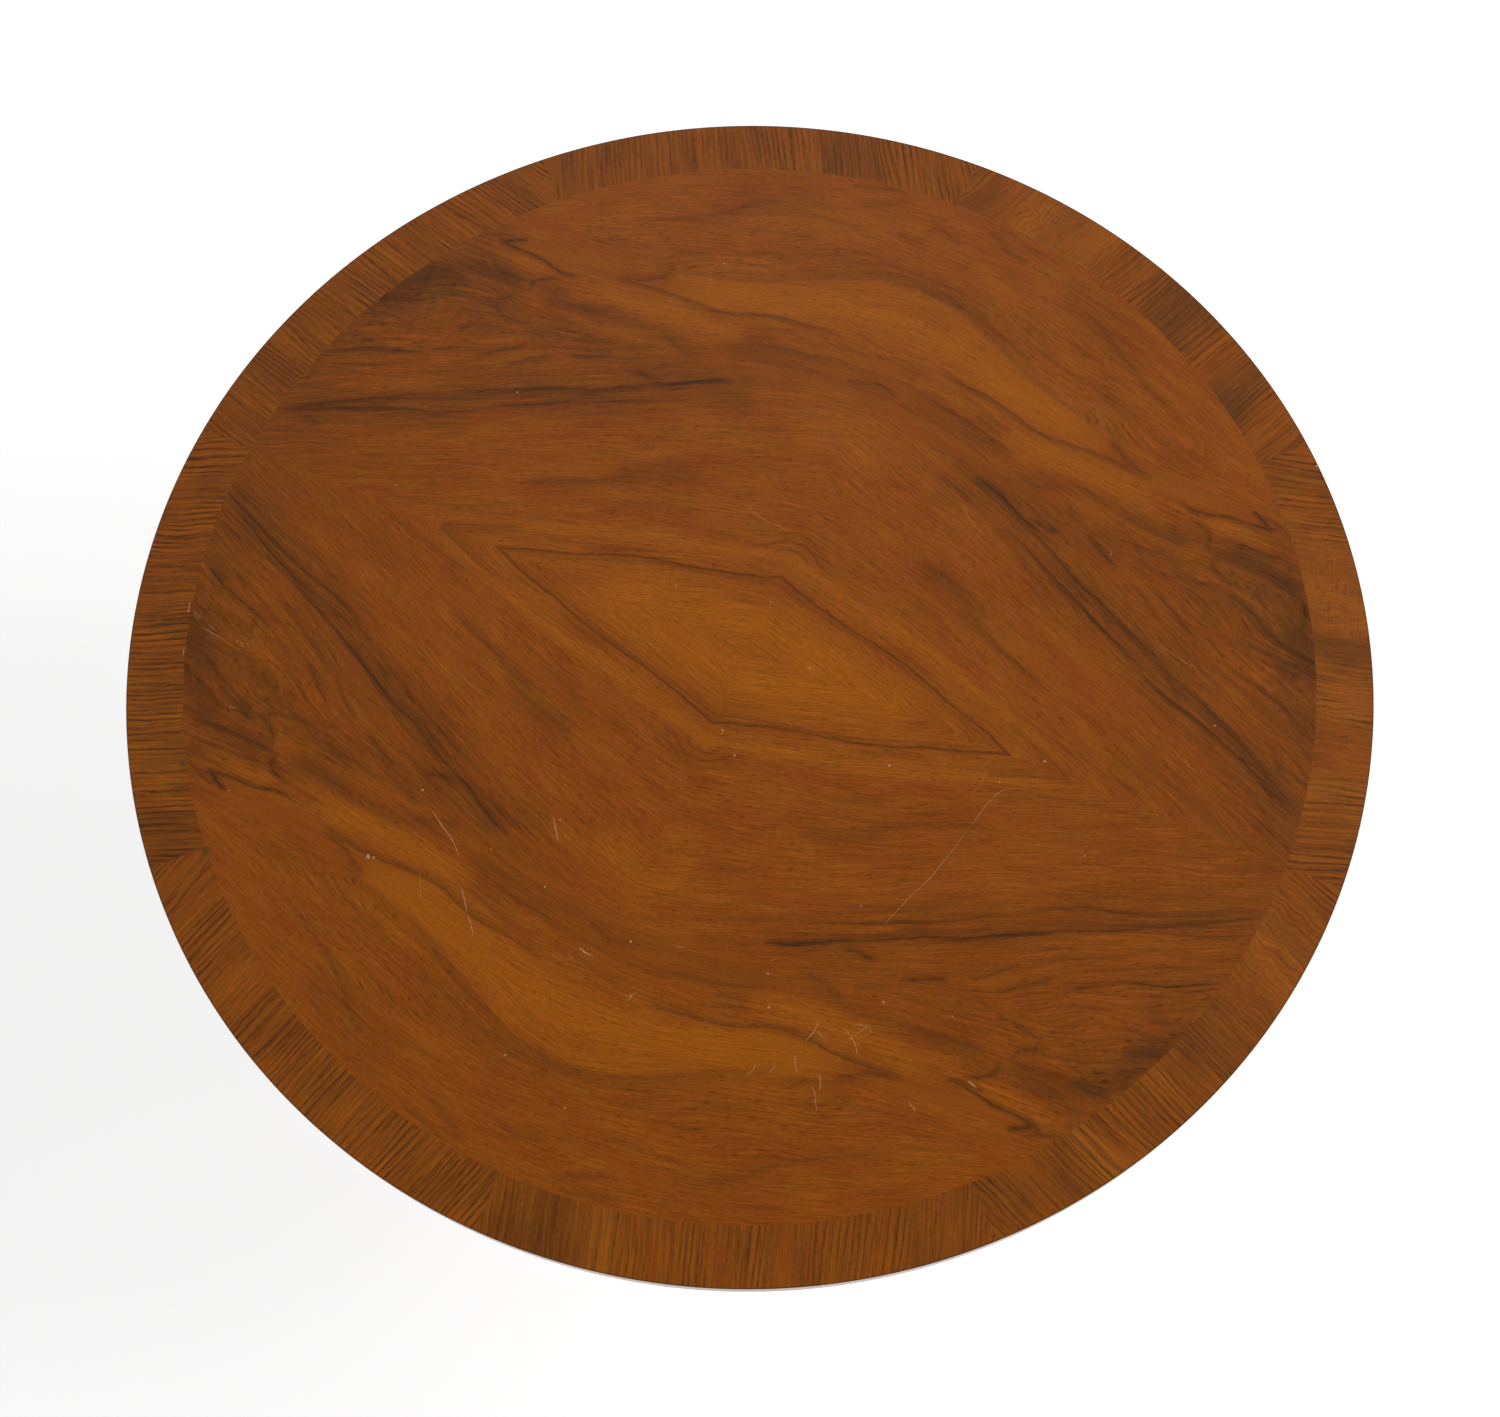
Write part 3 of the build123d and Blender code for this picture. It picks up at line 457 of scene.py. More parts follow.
# %% The line of a stroke
FADING_END = 0.22  # the share of a stroke over which each of its ends fades
AT_SEAM = 3  # millimetres; a stroke that ends nearer to the seam than this goes on across it


def smooth_line(points, steps=6):
    """Points closely spaced along the Catmull-Rom curve through the given points."""
    p = np.array(points, float)
    p = np.vstack([2 * p[0] - p[1], p, 2 * p[-1] - p[-2]])
    t = np.linspace(0, 1, steps, endpoint=False)[:, None, None]
    a, b, c, d = p[:-3], p[1:-2], p[2:-1], p[3:]
    curve = 0.5 * (
        2 * b + (c - a) * t + (2 * a - 5 * b + 4 * c - d) * t**2 + (3 * b - a - 3 * c + d) * t**3
    )
    return np.vstack([curve.transpose(1, 0, 2).reshape(-1, 2), p[-2]])


def near_stroke(x, y, points, reach):
    """Vertices near a stroke: their numbers, signed distance to its line, and share of its ends.

    An end that lies on a seam doesn't fade, because the stroke goes on in the next leaf.
    """
    line = smooth_line(points)
    low, high = line.min(0) - reach, line.max(0) + reach
    near = np.flatnonzero((x > low[0]) & (x < high[0]) & (y > low[1]) & (y < high[1]))
    place = np.stack([x[near], y[near]], -1)
    best = np.full(len(near), np.inf)
    side = np.ones(len(near))
    along = np.zeros(len(near))
    count = len(line) - 1
    for k in range(count):
        start, run = line[k], line[k + 1] - line[k]
        t = np.clip((place - start) @ run / (run @ run), 0, 1)
        offset = place - start - t[:, None] * run
        distance = np.hypot(offset[:, 0], offset[:, 1])
        closer = distance < best
        best[closer] = distance[closer]
        side[closer] = np.where(run[0] * offset[:, 1] > run[1] * offset[:, 0], 1, -1)[closer]
        along[closer] = ((k + t) / count)[closer]
    ends = np.ones(len(near))
    if line[0].min() > 0:
        ends *= np.clip(along / FADING_END, 0, 1)
    if line[-1, 1] > AT_SEAM:
        ends *= np.clip((1 - along) / FADING_END, 0, 1)
    return near, best * side, np.sqrt(ends)


print("the first stroke is a line of", len(smooth_line(DARK_STROKES[0][3])), "points")


# %% [markdown]
# Each stroke is laid down twice. Its soft shade goes straight into the vertices. Its crisp line
# would be coarser than the grid, so the vertices only carry how far they are from it, in line
# widths. A distance changes so evenly that it can be read between the vertices, and the finish
# then draws the line at its true width.


# %% How dark a stroke makes each vertex
SHADE_REACH = 2.6  # beyond so many of its widths a stroke's shade is too faint to matter
THIN_STROKE = 4.6  # above this width in millimetres a stroke has no crisp line
CHANNELS = 3  # the thin strokes are dealt out to the three parts of a vector
FAR_OFF = 9.0  # beyond so many line widths there is nothing to draw


def layer_strokes(x, y, strokes):
    """Soft shade: each stroke leaves 1 - darkness * exp(-(distance / width)^2) of the light."""
    light = np.ones(len(x))
    for darkness, above, below, points in strokes:
        near, distance, ends = near_stroke(x, y, points, SHADE_REACH * max(above, below))
        width = np.where(distance > 0, above, below)
        light[near] *= 1 - darkness * ends * np.exp(-((distance / width) ** 2))
    return 1 - light


def line_places(x, y, strokes):
    """For the thin strokes, in three channels: distance in line widths, and darkness.

    A line is 0.25 mm wide and 0.30 of its stroke's upper width more, and fades a little outwards.
    """
    places = np.full((len(x), CHANNELS), FAR_OFF)
    darkness = np.zeros((len(x), CHANNELS))
    thin = [stroke for stroke in strokes if stroke[1] <= THIN_STROKE]
    for number, (depth, above, _, points) in enumerate(thin):
        channel = number % CHANNELS
        width = 0.25 + 0.30 * above
        near, distance, ends = near_stroke(x, y, points, FAR_OFF * width)
        closer = np.abs(distance) / width < np.abs(places[near, channel])
        picked = near[closer]
        places[picked, channel] = distance[closer] / width
        fade = np.clip(1.5 - np.abs(distance[closer]) / width / 6, 0, 1)
        darkness[picked, channel] = depth * ends[closer] * fade
    return places, darkness


print(sum(stroke[1] <= THIN_STROKE for stroke in DARK_STROKES), "strokes have a crisp line")


# %% [markdown]
# Fine grain has to run with the veins. Thirteen guide lines say how the grain lies across the
# leaf; between them it is interpolated. A vertex's place across the grain is then one number, which
# stays the same along every fibre, and a texture read at that number is drawn out along the
# fibres by itself.

# %% The lie of the grain
WAVES = 9  # how many waves make one ripple
GRAIN_STATIONS = [0, 100, 200, 300, 400, 500]
GUIDE_POWER = 4  # each guide is the polynomial of this degree nearest to its heights
# Each row: the guide's number across the grain, and its height at each station.
GRAIN_GUIDES = [
    (-160, [-90, -115, -150, -190, -235, -280]),
    (0, [78, 52, 22, -15, -58, -105]),
    (45, [126, 106, 76, 38, -4, -48]),
    (100, [205, 172, 134, 92, 52, 14]),
    (140, [252, 224, 182, 134, 92, 48]),
    (160, [268, 246, 201, 153, 104, 55]),
    (200, [284, 268, 238, 198, 152, 108]),
    (235, [300, 288, 266, 252, 240, 222]),
    (265, [322, 318, 303, 290, 288, 280]),
    (330, [400, 368, 330, 308, 302, 298]),
    (370, [432, 428, 404, 356, 326, 312]),
    (410, [470, 462, 440, 400, 356, 330]),
    (470, [530, 522, 500, 462, 420, 390]),
]


def ripple(x, y, wavelength, seed):
    """A smooth random height between about -1 and 1: the sum of waves in random directions."""
    random = np.random.default_rng(seed)
    angle = random.uniform(0, 2 * np.pi, WAVES)
    length = wavelength * random.uniform(0.6, 1.6, WAVES)
    phase = random.uniform(0, 2 * np.pi, WAVES)
    turns = 2 * np.pi * (np.outer(x, np.cos(angle)) + np.outer(y, np.sin(angle))) / length
    return np.sin(turns + phase).sum(1) / np.sqrt(WAVES)


def grain_level(x, y):
    """Where a point lies across the grain, from the two guides it lies between."""
    fit = np.polynomial.Polynomial.fit
    numbers = np.array([number for number, _ in GRAIN_GUIDES], float)
    heights = np.array([fit(GRAIN_STATIONS, guide, GUIDE_POWER)(x) for _, guide in GRAIN_GUIDES])
    below = np.clip((y[None, :] >= heights).sum(0) - 1, 0, len(numbers) - 2)
    pick = np.arange(len(x))
    low, high = heights[below, pick], heights[below + 1, pick]
    share = (y - low) / (high - low)
    return numbers[below] + share * (numbers[below + 1] - numbers[below])


print("at (100, 100) the grain's number is", *grain_level(np.array([100.0]), np.array([100.0])))

# %% [markdown]
# The four leaves are not quite alike, because each was sliced a little deeper in the log. A
# small drift in the drawing, different for every leaf, keeps the match from looking printed.
# Beside the seams the drift dies away, so that the veins still meet there.


# %% The figure at every vertex of a leaf
UMBER_BY_LEAF = [1.10, 1.0, 1.05, 0.60]
SEAM_CALM = 12  # millimetres over which the drawing's drift grows from a seam
LEAVES_APART = 30.0  # how far apart two leaves read the same noise
# Two small dark knots on the joint between field and border: place and size in millimetres.
KNOTS = [(-408, -295, 2.8), (-352, -356, 3.6)]


def knots(x, y):
    """Darkness of the knots: exp(-(distance / size)^2) of each, summed."""
    return sum(np.exp(-((x - a) ** 2 + (y - b) ** 2) / size**2) for a, b, size in KNOTS)


def leaf_figure(x, y, leaf):
    """Grain place, then darkness, gold and umber, at points in millimetres from the centre.

    The drift belongs to one leaf. The other ripples belong to the log, and are the same in all.
    """
    p, q = np.abs(x), np.abs(y)
    drift = 1.2 * ripple(p, q, 240, 40 + leaf)
    wander = 0.8 * ripple(p, q, 70, 7) + 0.25 * ripple(p, q, 22, 8)
    off_seam = np.clip(np.minimum(p, q) / SEAM_CALM, 0, 1)
    level = grain_level(p, q) + 2.0 * ripple(p * 0.3, q, 60, 9) + drift
    p_bent = p + (1.5 * ripple(p, q, 110, 10) + drift) * off_seam
    q_bent = q + (wander + drift) * off_seam
    dark = np.clip(layer_strokes(p_bent, q_bent, DARK_STROKES) + knots(x, y), 0, 1)
    line_place, line_darkness = line_places(p_bent, q_bent, DARK_STROKES)
    gold = layer_strokes(p_bent, q_bent, GOLD_STROKES)
    umber = UMBER_BY_LEAF[leaf] * layer_strokes(p_bent, q_bent, UMBER_CLOUDS)
    umber += 0.03 * ripple(p, q, 90, 11)
    return {
        "grain": np.stack([p, level, np.full(len(p), LEAVES_APART * leaf)], -1),
        "figure": np.stack([dark, gold, np.clip(umber, 0, 1)], -1),
        "line_place": line_place,
        "line_darkness": line_darkness,
    }


print("each leaf's vertices carry", ", ".join(leaf_figure(np.ones(1), np.ones(1), 0)))


# %% [markdown]
# ### The field's varnished veneer
# The base is a warm red-brown. Gold, umber and dark wood come from the strokes, and layers of
# noise in grain coordinates add streaks, hair lines, fibres and open pores. A vein is never an
# even line: its darkness is multiplied by streaks and fibres, which frays its edges. The varnish
# is old and rubbed to a satin, so its roughness is fairly high and its specular level low.

# %% Textures in the grain
# Each row: lumps per millimetre along the grain and across it, with a third number that sets
# equal textures apart; then how many finer layers, and how rough they are.
MOTTLE = ((0.22, 0.40, 4.0), 2.0, 0.6)
FIELD_TEXTURES = {
    "fibre": ((0.022, 0.85, 1.0), 3.0, 0.7),
    "streak": ((0.006, 0.20, 1.0), 3.0, 0.6),
    "hair": ((0.005, 0.085, 1.0), 2.0, 0.5),
    "cloud": ((0.012, 0.050, 1.0), 3.0, 0.6),
    "pore": ((0.110, 1.10, 1.0), 1.0, 0.5),
    "fleck": ((0.040, 0.130, 1.0), 1.0, 0.5),
    "blush": ((0.030, 0.240, 2.0), 3.0, 0.65),
    "mottle": MOTTLE,
    "wobble": ((0.035, 0.120, 3.0), 3.0, 0.7),
}
VARNISH_SHINE = 0.16
VARNISH_ROUGHNESS = 0.42


def textures(tree, grain, rows):
    """One noise texture for each row of a table, all read at the same place in the grain."""
    made = {}
    for name, (scale, detail, roughness) in rows.items():
        made[name] = noise(tree, stretch(tree, grain, scale), detail, roughness)
    return made


print(len(FIELD_TEXTURES), "textures:", ", ".join(FIELD_TEXTURES))


# %% [markdown]
# The veins come in three kinds. The soft shades and the crisp lines were drawn. The hairs and
# flecks between them are noise: a hair runs where soft noise crosses its middle value, as a
# contour line does on a map.


# %% Veins of the field
def hair_lines(tree, soft, width):
    """Thin lines where soft noise crosses its middle value: 1 on the line, 0 beyond its width."""
    crossing = calc(tree, "ABSOLUTE", calc(tree, "SUBTRACT", soft, 0.5))
    return remap(tree, crossing, 0.0, width, 1.0, 0.0)


def drawn_lines(tree, wobble, broken):
    """The thin strokes: dark where a vertex lies within about one line width, frayed by noise."""
    total = 0.0
    places = parts_of(tree, attribute(tree, "line_place"))
    depths = parts_of(tree, attribute(tree, "line_darkness"))
    for place, depth in zip(places, depths):
        wandering = calc(tree, "ADD", place, wobble)
        line = remap(tree, calc(tree, "ABSOLUTE", wandering), 0.45, 1.75, 1.0, 0.0)
        total = calc(tree, "MAXIMUM", times(tree, line, depth, broken), total)
    return total


def drawn_veins(tree, look, shade):
    """The strokes, soft and crisp, broken by streaks and frayed by fibres."""
    broken = remap(tree, look["streak"], 0.32, 0.68, 0.62, 1.35)
    frayed = remap(tree, look["fibre"], 0.34, 0.66, 0.50, 1.50)
    soft = times(tree, broken, frayed, shade, 0.66)
    swing = remap(tree, look["wobble"], 0.30, 0.70, -1.6, 1.6)
    crisp = drawn_lines(tree, swing, remap(tree, look["fibre"], 0.34, 0.66, 0.75, 1.30))
    return calc(tree, "MAXIMUM", soft, crisp)


def fine_veins(tree, look, umber):
    """Streaks, hairs and flecks, which are busier where the wood is clouded."""
    broken_hair = remap(tree, look["streak"], 0.40, 0.65, 0.0, 0.42)
    hairs = times(tree, hair_lines(tree, look["hair"], 0.030), broken_hair)
    streaks = times(tree, remap(tree, look["streak"], 0.52, 0.72), 0.18)
    busy = remap(tree, umber, 0.0, 0.40, 0.45, 1.25)
    fine = times(tree, calc(tree, "MAXIMUM", streaks, hairs), busy)
    flecks = times(tree, remap(tree, look["fleck"], 0.58, 0.70), umber, 0.7)
    return calc(tree, "MAXIMUM", fine, flecks)


# %% [markdown]
# The finish mixes its colours from the ground up: brown and red ground, gold, umber, blush, and
# the veins last. Fibres and open pores then lighten and darken all of it.


# %% Field veneer
def field_finish(brown, red, gold, dark, umber, blush):
    """Satin varnish over figured veneer."""
    material, shader = new_finish("field_veneer", VARNISH_ROUGHNESS)
    tree = material.node_tree
    look = textures(tree, attribute(tree, "grain"), FIELD_TEXTURES)
    darkness, gilding, clouding = parts_of(tree, attribute(tree, "figure"))

    tone = blend(tree, remap(tree, look["cloud"], 0.38, 0.66), brown, red)
    tone = blend(tree, gilding, tone, gold)
    ragged = remap(tree, look["streak"], 0.30, 0.70, 0.65, 1.35)
    tone = blend(tree, times(tree, clouding, ragged, clamp=True), tone, umber)
    tone = blend(tree, remap(tree, look["blush"], 0.50, 0.72, 0.0, 0.55), tone, blush)
    veins = (drawn_veins(tree, look, darkness), fine_veins(tree, look, clouding))
    tone = blend(tree, calc(tree, "ADD", *veins, clamp=True), tone, dark)

    lightness = times(
        tree,
        remap(tree, look["fibre"], 0.30, 0.70, 0.71, 1.29),
        remap(tree, look["mottle"], 0.30, 0.70, 0.91, 1.09),
        remap(tree, look["pore"], 0.60, 0.70, 1.0, 0.60),
    )
    tree.links.new(darken(tree, tone, lightness), shader.inputs["Base Color"])
    shader.inputs["Specular IOR Level"].default_value = VARNISH_SHINE
    tree.links.new(remap(tree, look["fibre"], 0.3, 0.7, 0.34, 0.46), shader.inputs["Roughness"])
    bump(tree, shader, look["pore"], 0.00003)
    return material


field_veneer = field_finish(
    brown=colour(137, 73, 11),
    red=colour(132, 64, 12),
    gold=colour(157, 87, 9),
    dark=colour(72, 39, 11),
    umber=colour(90, 50, 12),
    blush=colour(151, 72, 11),
)


# %% [markdown]
# A leaf is a quarter of a disc. A polar grid would crowd its vertices at the centre, so the unit
# square is bent into the quarter disc instead: x = s * sqrt(1 - t^2 / 2), y = t * sqrt(1 - s^2 / 2).
# The cells stay nearly even, and two of the square's sides become the two seams. Below the top
# face, only the outline is repeated, for the sheet's edges and its underside.


# %% Field leaves
def quarter_disc(steps):
    """The unit square bent into the unit quarter disc; grid points in row order."""
    s, t = np.meshgrid(np.linspace(0, 1, steps), np.linspace(0, 1, steps), indexing="ij")
    return (s * np.sqrt(1 - t**2 / 2)).ravel(), (t * np.sqrt(1 - s**2 / 2)).ravel()


def grid_outline(steps):
    """Vertex numbers round the edge of a square grid, anticlockwise."""
    first, last = 0, steps - 1
    k = np.arange(steps)
    sides = [k * steps + first, last * steps + k, k[::-1] * steps + last, first * steps + k[::-1]]
    return np.concatenate([side[:-1] for side in sides])


LEAF_STEPS = 281
s, t = quarter_disc(LEAF_STEPS)
outline = grid_outline(LEAF_STEPS)
under_numbers = len(s) + np.arange(len(outline))
walls = np.stack([outline, under_numbers, np.roll(under_numbers, -1), np.roll(outline, -1)], -1)
faces = grid_faces(LEAF_STEPS, LEAF_STEPS) + walls.tolist() + [under_numbers[::-1].tolist()]
for leaf in range(4):
    x, y = (field_radius * part for part in turned_round(s, t, QUARTER * leaf))
    top_face = np.stack([x, y, np.full(len(x), top_z)], -1)
    points = np.vstack([top_face, top_face[outline] - (0, 0, veneer)])
    figure = leaf_figure(points[:, 0] / MM, points[:, 1] / MM, leaf)
    node = f"field_leaf_{leaf + 1}"
    add_piece(f"veneer_{node}", points, faces, "top", field_veneer, figure, [node], smooth=False)

# %% [markdown]
# ### The crossband
# Eight pieces of short-grained veneer. The grain of each runs outwards, but seldom along its
# middle, because a cutter leans the sheet to waste less of it. Its lines are close and nearly
# straight, so no strokes are drawn for it. They come from a sine wave across the grain, whose
# turns slow noise crowds and spreads as growth rings do, and finer lines of noise are scattered
# between them. What is listed piece by piece is larger: strips of golden sapwood, dark patches, and in a
# few pieces a curly figure, where the lines break up and small reddish wisps lie across the grain.

# %% Textures of the crossband
RING_TURNS = 1.15  # radians of the wave for each millimetre across the grain
RING_DRIFT = 24.0  # and how many radians the rings crowd and spread
BAND_TEXTURES = {
    "broad": ((0.014, 0.060, 1.0), 3.0, 0.6),
    "drift": ((0.005, 0.034, 6.0), 1.0, 0.5),
    "ring": ((0.008, 0.240, 1.0), 3.0, 0.6),
    "close": ((0.012, 0.560, 2.0), 2.0, 0.6),
    "fibre": ((0.045, 1.050, 1.0), 3.0, 0.7),
    "group": ((0.012, 0.040, 3.0), 1.0, 0.5),
    "warm": ((0.090, 0.330, 4.0), 3.0, 0.65),
    "mottle": MOTTLE,
    "wisp": ((0.420, 0.085, 5.0), 2.0, 0.6),
}
print("rings every", round(2 * math.pi / RING_TURNS, 2), "mm on average")


# %% Crossband veneer
def ring_lines(tree, grain, look):
    """The close lines: where the wave is high, in groups, and the scattered ones between them."""
    turns = times(tree, part_of(tree, grain, "Y"), RING_TURNS)
    turns = calc(tree, "ADD", turns, times(tree, look["drift"], RING_DRIFT))
    late = remap(tree, calc(tree, "SINE", turns), 0.05, 0.90)
    late = times(tree, late, remap(tree, look["group"], 0.38, 0.60, 0.14, 0.80))
    scattered = times(tree, remap(tree, look["ring"], 0.53, 0.63), 0.62)
    second = times(tree, remap(tree, look["close"], 0.48, 0.64), 0.46)
    return calc(tree, "MAXIMUM", calc(tree, "MAXIMUM", late, scattered), second)


def crossband_finish():
    """Satin varnish over close, straight-lined veneer."""
    material, shader = new_finish("crossband_veneer", VARNISH_ROUGHNESS)
    tree = material.node_tree
    grain = attribute(tree, "grain")
    look = textures(tree, grain, BAND_TEXTURES)
    dark_edge_and_knots, gilding, clouding = parts_of(tree, attribute(tree, "figure"))
    curl, strength, _ = parts_of(tree, attribute(tree, "character"))

    ground = remap(tree, look["broad"], 0.34, 0.66)
    tone = blend(tree, ground, colour(134, 68, 11), colour(144, 79, 12))
    tone = blend(tree, gilding, tone, colour(150, 87, 18))
    tone = blend(tree, remap(tree, look["warm"], 0.46, 0.70, 0.0, 0.65), tone, colour(154, 74, 14))
    tone = blend(tree, clouding, tone, colour(94, 52, 14))
    shade = times(
        tree,
        ring_lines(tree, grain, look),
        remap(tree, look["fibre"], 0.32, 0.68, 0.60, 1.35),
        remap(tree, look["warm"], 0.34, 0.66, 1.25, 0.65),
        strength,
        remap(tree, curl, 0.0, 1.0, 1.0, 0.35),
        clamp=True,
    )
    tone = blend(tree, shade, tone, colour(72, 38, 10))
    wisps = times(tree, remap(tree, look["wisp"], 0.52, 0.70, 0.0, 0.75), curl)
    tone = blend(tree, wisps, tone, colour(122, 44, 12))
    # The colour is made darker along the outer edge and at the knots.
    tone = blend(tree, dark_edge_and_knots, tone, colour(70, 52, 22))

    lightness = times(
        tree,
        remap(tree, look["fibre"], 0.28, 0.72, 0.80, 1.20),
        remap(tree, look["mottle"], 0.30, 0.70, 0.91, 1.09),
    )
    tree.links.new(darken(tree, tone, lightness), shader.inputs["Base Color"])
    shader.inputs["Specular IOR Level"].default_value = VARNISH_SHINE
    bump(tree, shader, look["fibre"], 0.00002)
    return material


crossband_veneer = crossband_finish()

# %% [markdown]
# The crossband's outer edge is rounded a little where it meets the edge of the top, and its colour
# is made darker along that arris. Its section is a closed line, and it is carried round the table's
# axis through an eighth of a turn.

# %% The section of a crossband
BAND_ARCS = 260
BAND_ROWS = 34
arris = 0.6 * MM  # radius of the rounding


def band_section():
    """The crossband's section as (radius, height): top inwards, then down, out and up the edge."""
    inwards = np.linspace(top_radius - 3 * arris, field_radius, BAND_ROWS)
    inwards = np.concatenate([top_radius - arris * np.array([1, 1.6, 2.2]), inwards])
    top_line = np.stack([inwards, np.full(len(inwards), top_z)], -1)
    turn = np.linspace(0, QUARTER, 6)[:-1]
    centre = (top_radius - arris, top_z - arris)
    rounded = np.stack([np.cos(turn), np.sin(turn)], -1) * arris + centre
    low = top_z - veneer
    return np.vstack([top_line, [(field_radius, low), (top_radius, low)], rounded])


print("the section has", len(band_section()), "points")

# %% [markdown]
# Each piece has its own lean of grain, strength of line, and patches. They are listed here, going
# round from the right, and a vertex's place across the grain decides which of them it lies in.

# %% What differs from piece to piece
# The lean of each piece's grain in degrees from its first joint, and how strong its lines are.
LEAN_BY_PIECE = [17, 21, 29, 29, 26, 29, 18, 23]
LINES_BY_PIECE = [1.0, 0.88, 0.96, 1.02, 1.18, 1.0, 0.86, 0.98]
# Strips and patches by piece: place across the grain, half width in millimetres, and strength.
GOLD_BY_PIECE = {
    0: [(-74, 10, 0.8), (16, 34, 0.5), (120, 58, 0.6)],
    1: [(116, 50, 0.55)],
    4: [(55, 60, 0.25)],
    5: [(30, 60, 0.25)],
    6: [(-66, 13, 0.7)],
    7: [(-107, 12, 0.7), (118, 44, 0.40)],
}
UMBER_BY_PIECE = {
    0: [(60, 14, 0.45)],
    1: [(-118, 24, 0.48), (-20, 34, 0.50), (198, 9, 0.30)],
    2: [(-150, 20, 0.25)],
    3: [(60, 40, 0.20)],
    4: [(150, 30, 0.25)],
    6: [(-122, 26, 0.38), (210, 24, 0.22)],
    7: [(-190, 20, 0.30), (30, 24, 0.35)],
}
CURL_BY_PIECE = {
    0: [(-30, 30, 0.5), (110, 56, 1.0)],
    1: [(120, 60, 1.0)],
    7: [(120, 60, 0.7)],
}
print("patches of gold, umber and curl:", len(GOLD_BY_PIECE), len(UMBER_BY_PIECE), len(CURL_BY_PIECE))


# %% The figure at every vertex of a crossband
SHEETS_APART = 17.0  # how far apart two pieces read the same noise
UMBER_EVERYWHERE = 0.16
CURL_SWAY = 2.5  # millimetres that the lines sway in curly wood
# how much darker the colour is made at the very edge of the top
EDGE_DARKNESS = 0.62
EDGE_DARKNESS_REACH = 1.6  # millimetres in from the edge
KNOT_DARKNESS = 0.9


def patch(across, places):
    """Strips with fairly sharp sides: strength * exp(-(distance / half width)^4), summed."""
    return sum(
        (strength * np.exp(-(((across - place) / half) ** 4)) for place, half, strength in places),
        np.zeros(len(across)),
    )


def band_figure(x, y, lean, number):
    """Grain along the direction `lean`; then the darker edge and knots, gold and umber; then curl and line
    strength.
    """
    along = x * math.cos(lean) + y * math.sin(lean) - top_radius / MM
    across = -x * math.sin(lean) + y * math.cos(lean)

    def waves(height, wavelength, seed, shorter=1.0):
        """Ripples of this piece alone, and so much shorter along the grain."""
        return height * ripple(shorter * along, across, wavelength, seed + number)

    sway = waves(0.9, 110, 200, 1.2) + waves(0.2, 36, 210, 1.3)
    gold = patch(across - sway, GOLD_BY_PIECE.get(number, []))
    umber = patch(across + waves(6, 50, 220), UMBER_BY_PIECE.get(number, []))
    umber += UMBER_EVERYWHERE + waves(0.14, 55, 300, 0.6)
    curl = patch(across + waves(8, 40, 230), CURL_BY_PIECE.get(number, []))
    sway += CURL_SWAY * np.clip(curl, 0, 1) * waves(1, 24, 240)
    from_edge = top_radius / MM - np.hypot(x, y)
    # The colour is made darker near the top's outer edge, and at the two knots.
    dark_edge_and_knots = EDGE_DARKNESS * np.clip(EDGE_DARKNESS_REACH - from_edge, 0, 1) + KNOT_DARKNESS * knots(x, y)
    lines = np.full(len(x), LINES_BY_PIECE[number])
    return {
        "grain": np.stack([along, across - sway, np.full(len(x), SHEETS_APART * number)], -1),
        "figure": np.clip(np.stack([dark_edge_and_knots, gold, umber], -1), 0, 1),
        "character": np.stack([np.clip(curl, 0, 1), lines, np.zeros(len(x))], -1),
    }


# %% The eight crossbands
section = band_section()
first_end = list(range(len(section)))
last_end = [(BAND_ARCS - 1) * len(section) + j for j in first_end]
faces = grid_faces(BAND_ARCS, len(section), wrap_columns=True) + [first_end, last_end[::-1]]
for number in range(8):
    start = EIGHTH * number
    lean = start + math.radians(LEAN_BY_PIECE[number])
    points = swept(section, np.linspace(start, start + EIGHTH, BAND_ARCS))
    figure = band_figure(points[:, 0] / MM, points[:, 1] / MM, lean, number)
    node = f"crossband_{number + 1}"
    add_piece(f"veneer_{node}", points, faces, "top", crossband_veneer, figure, [node], smooth=False)
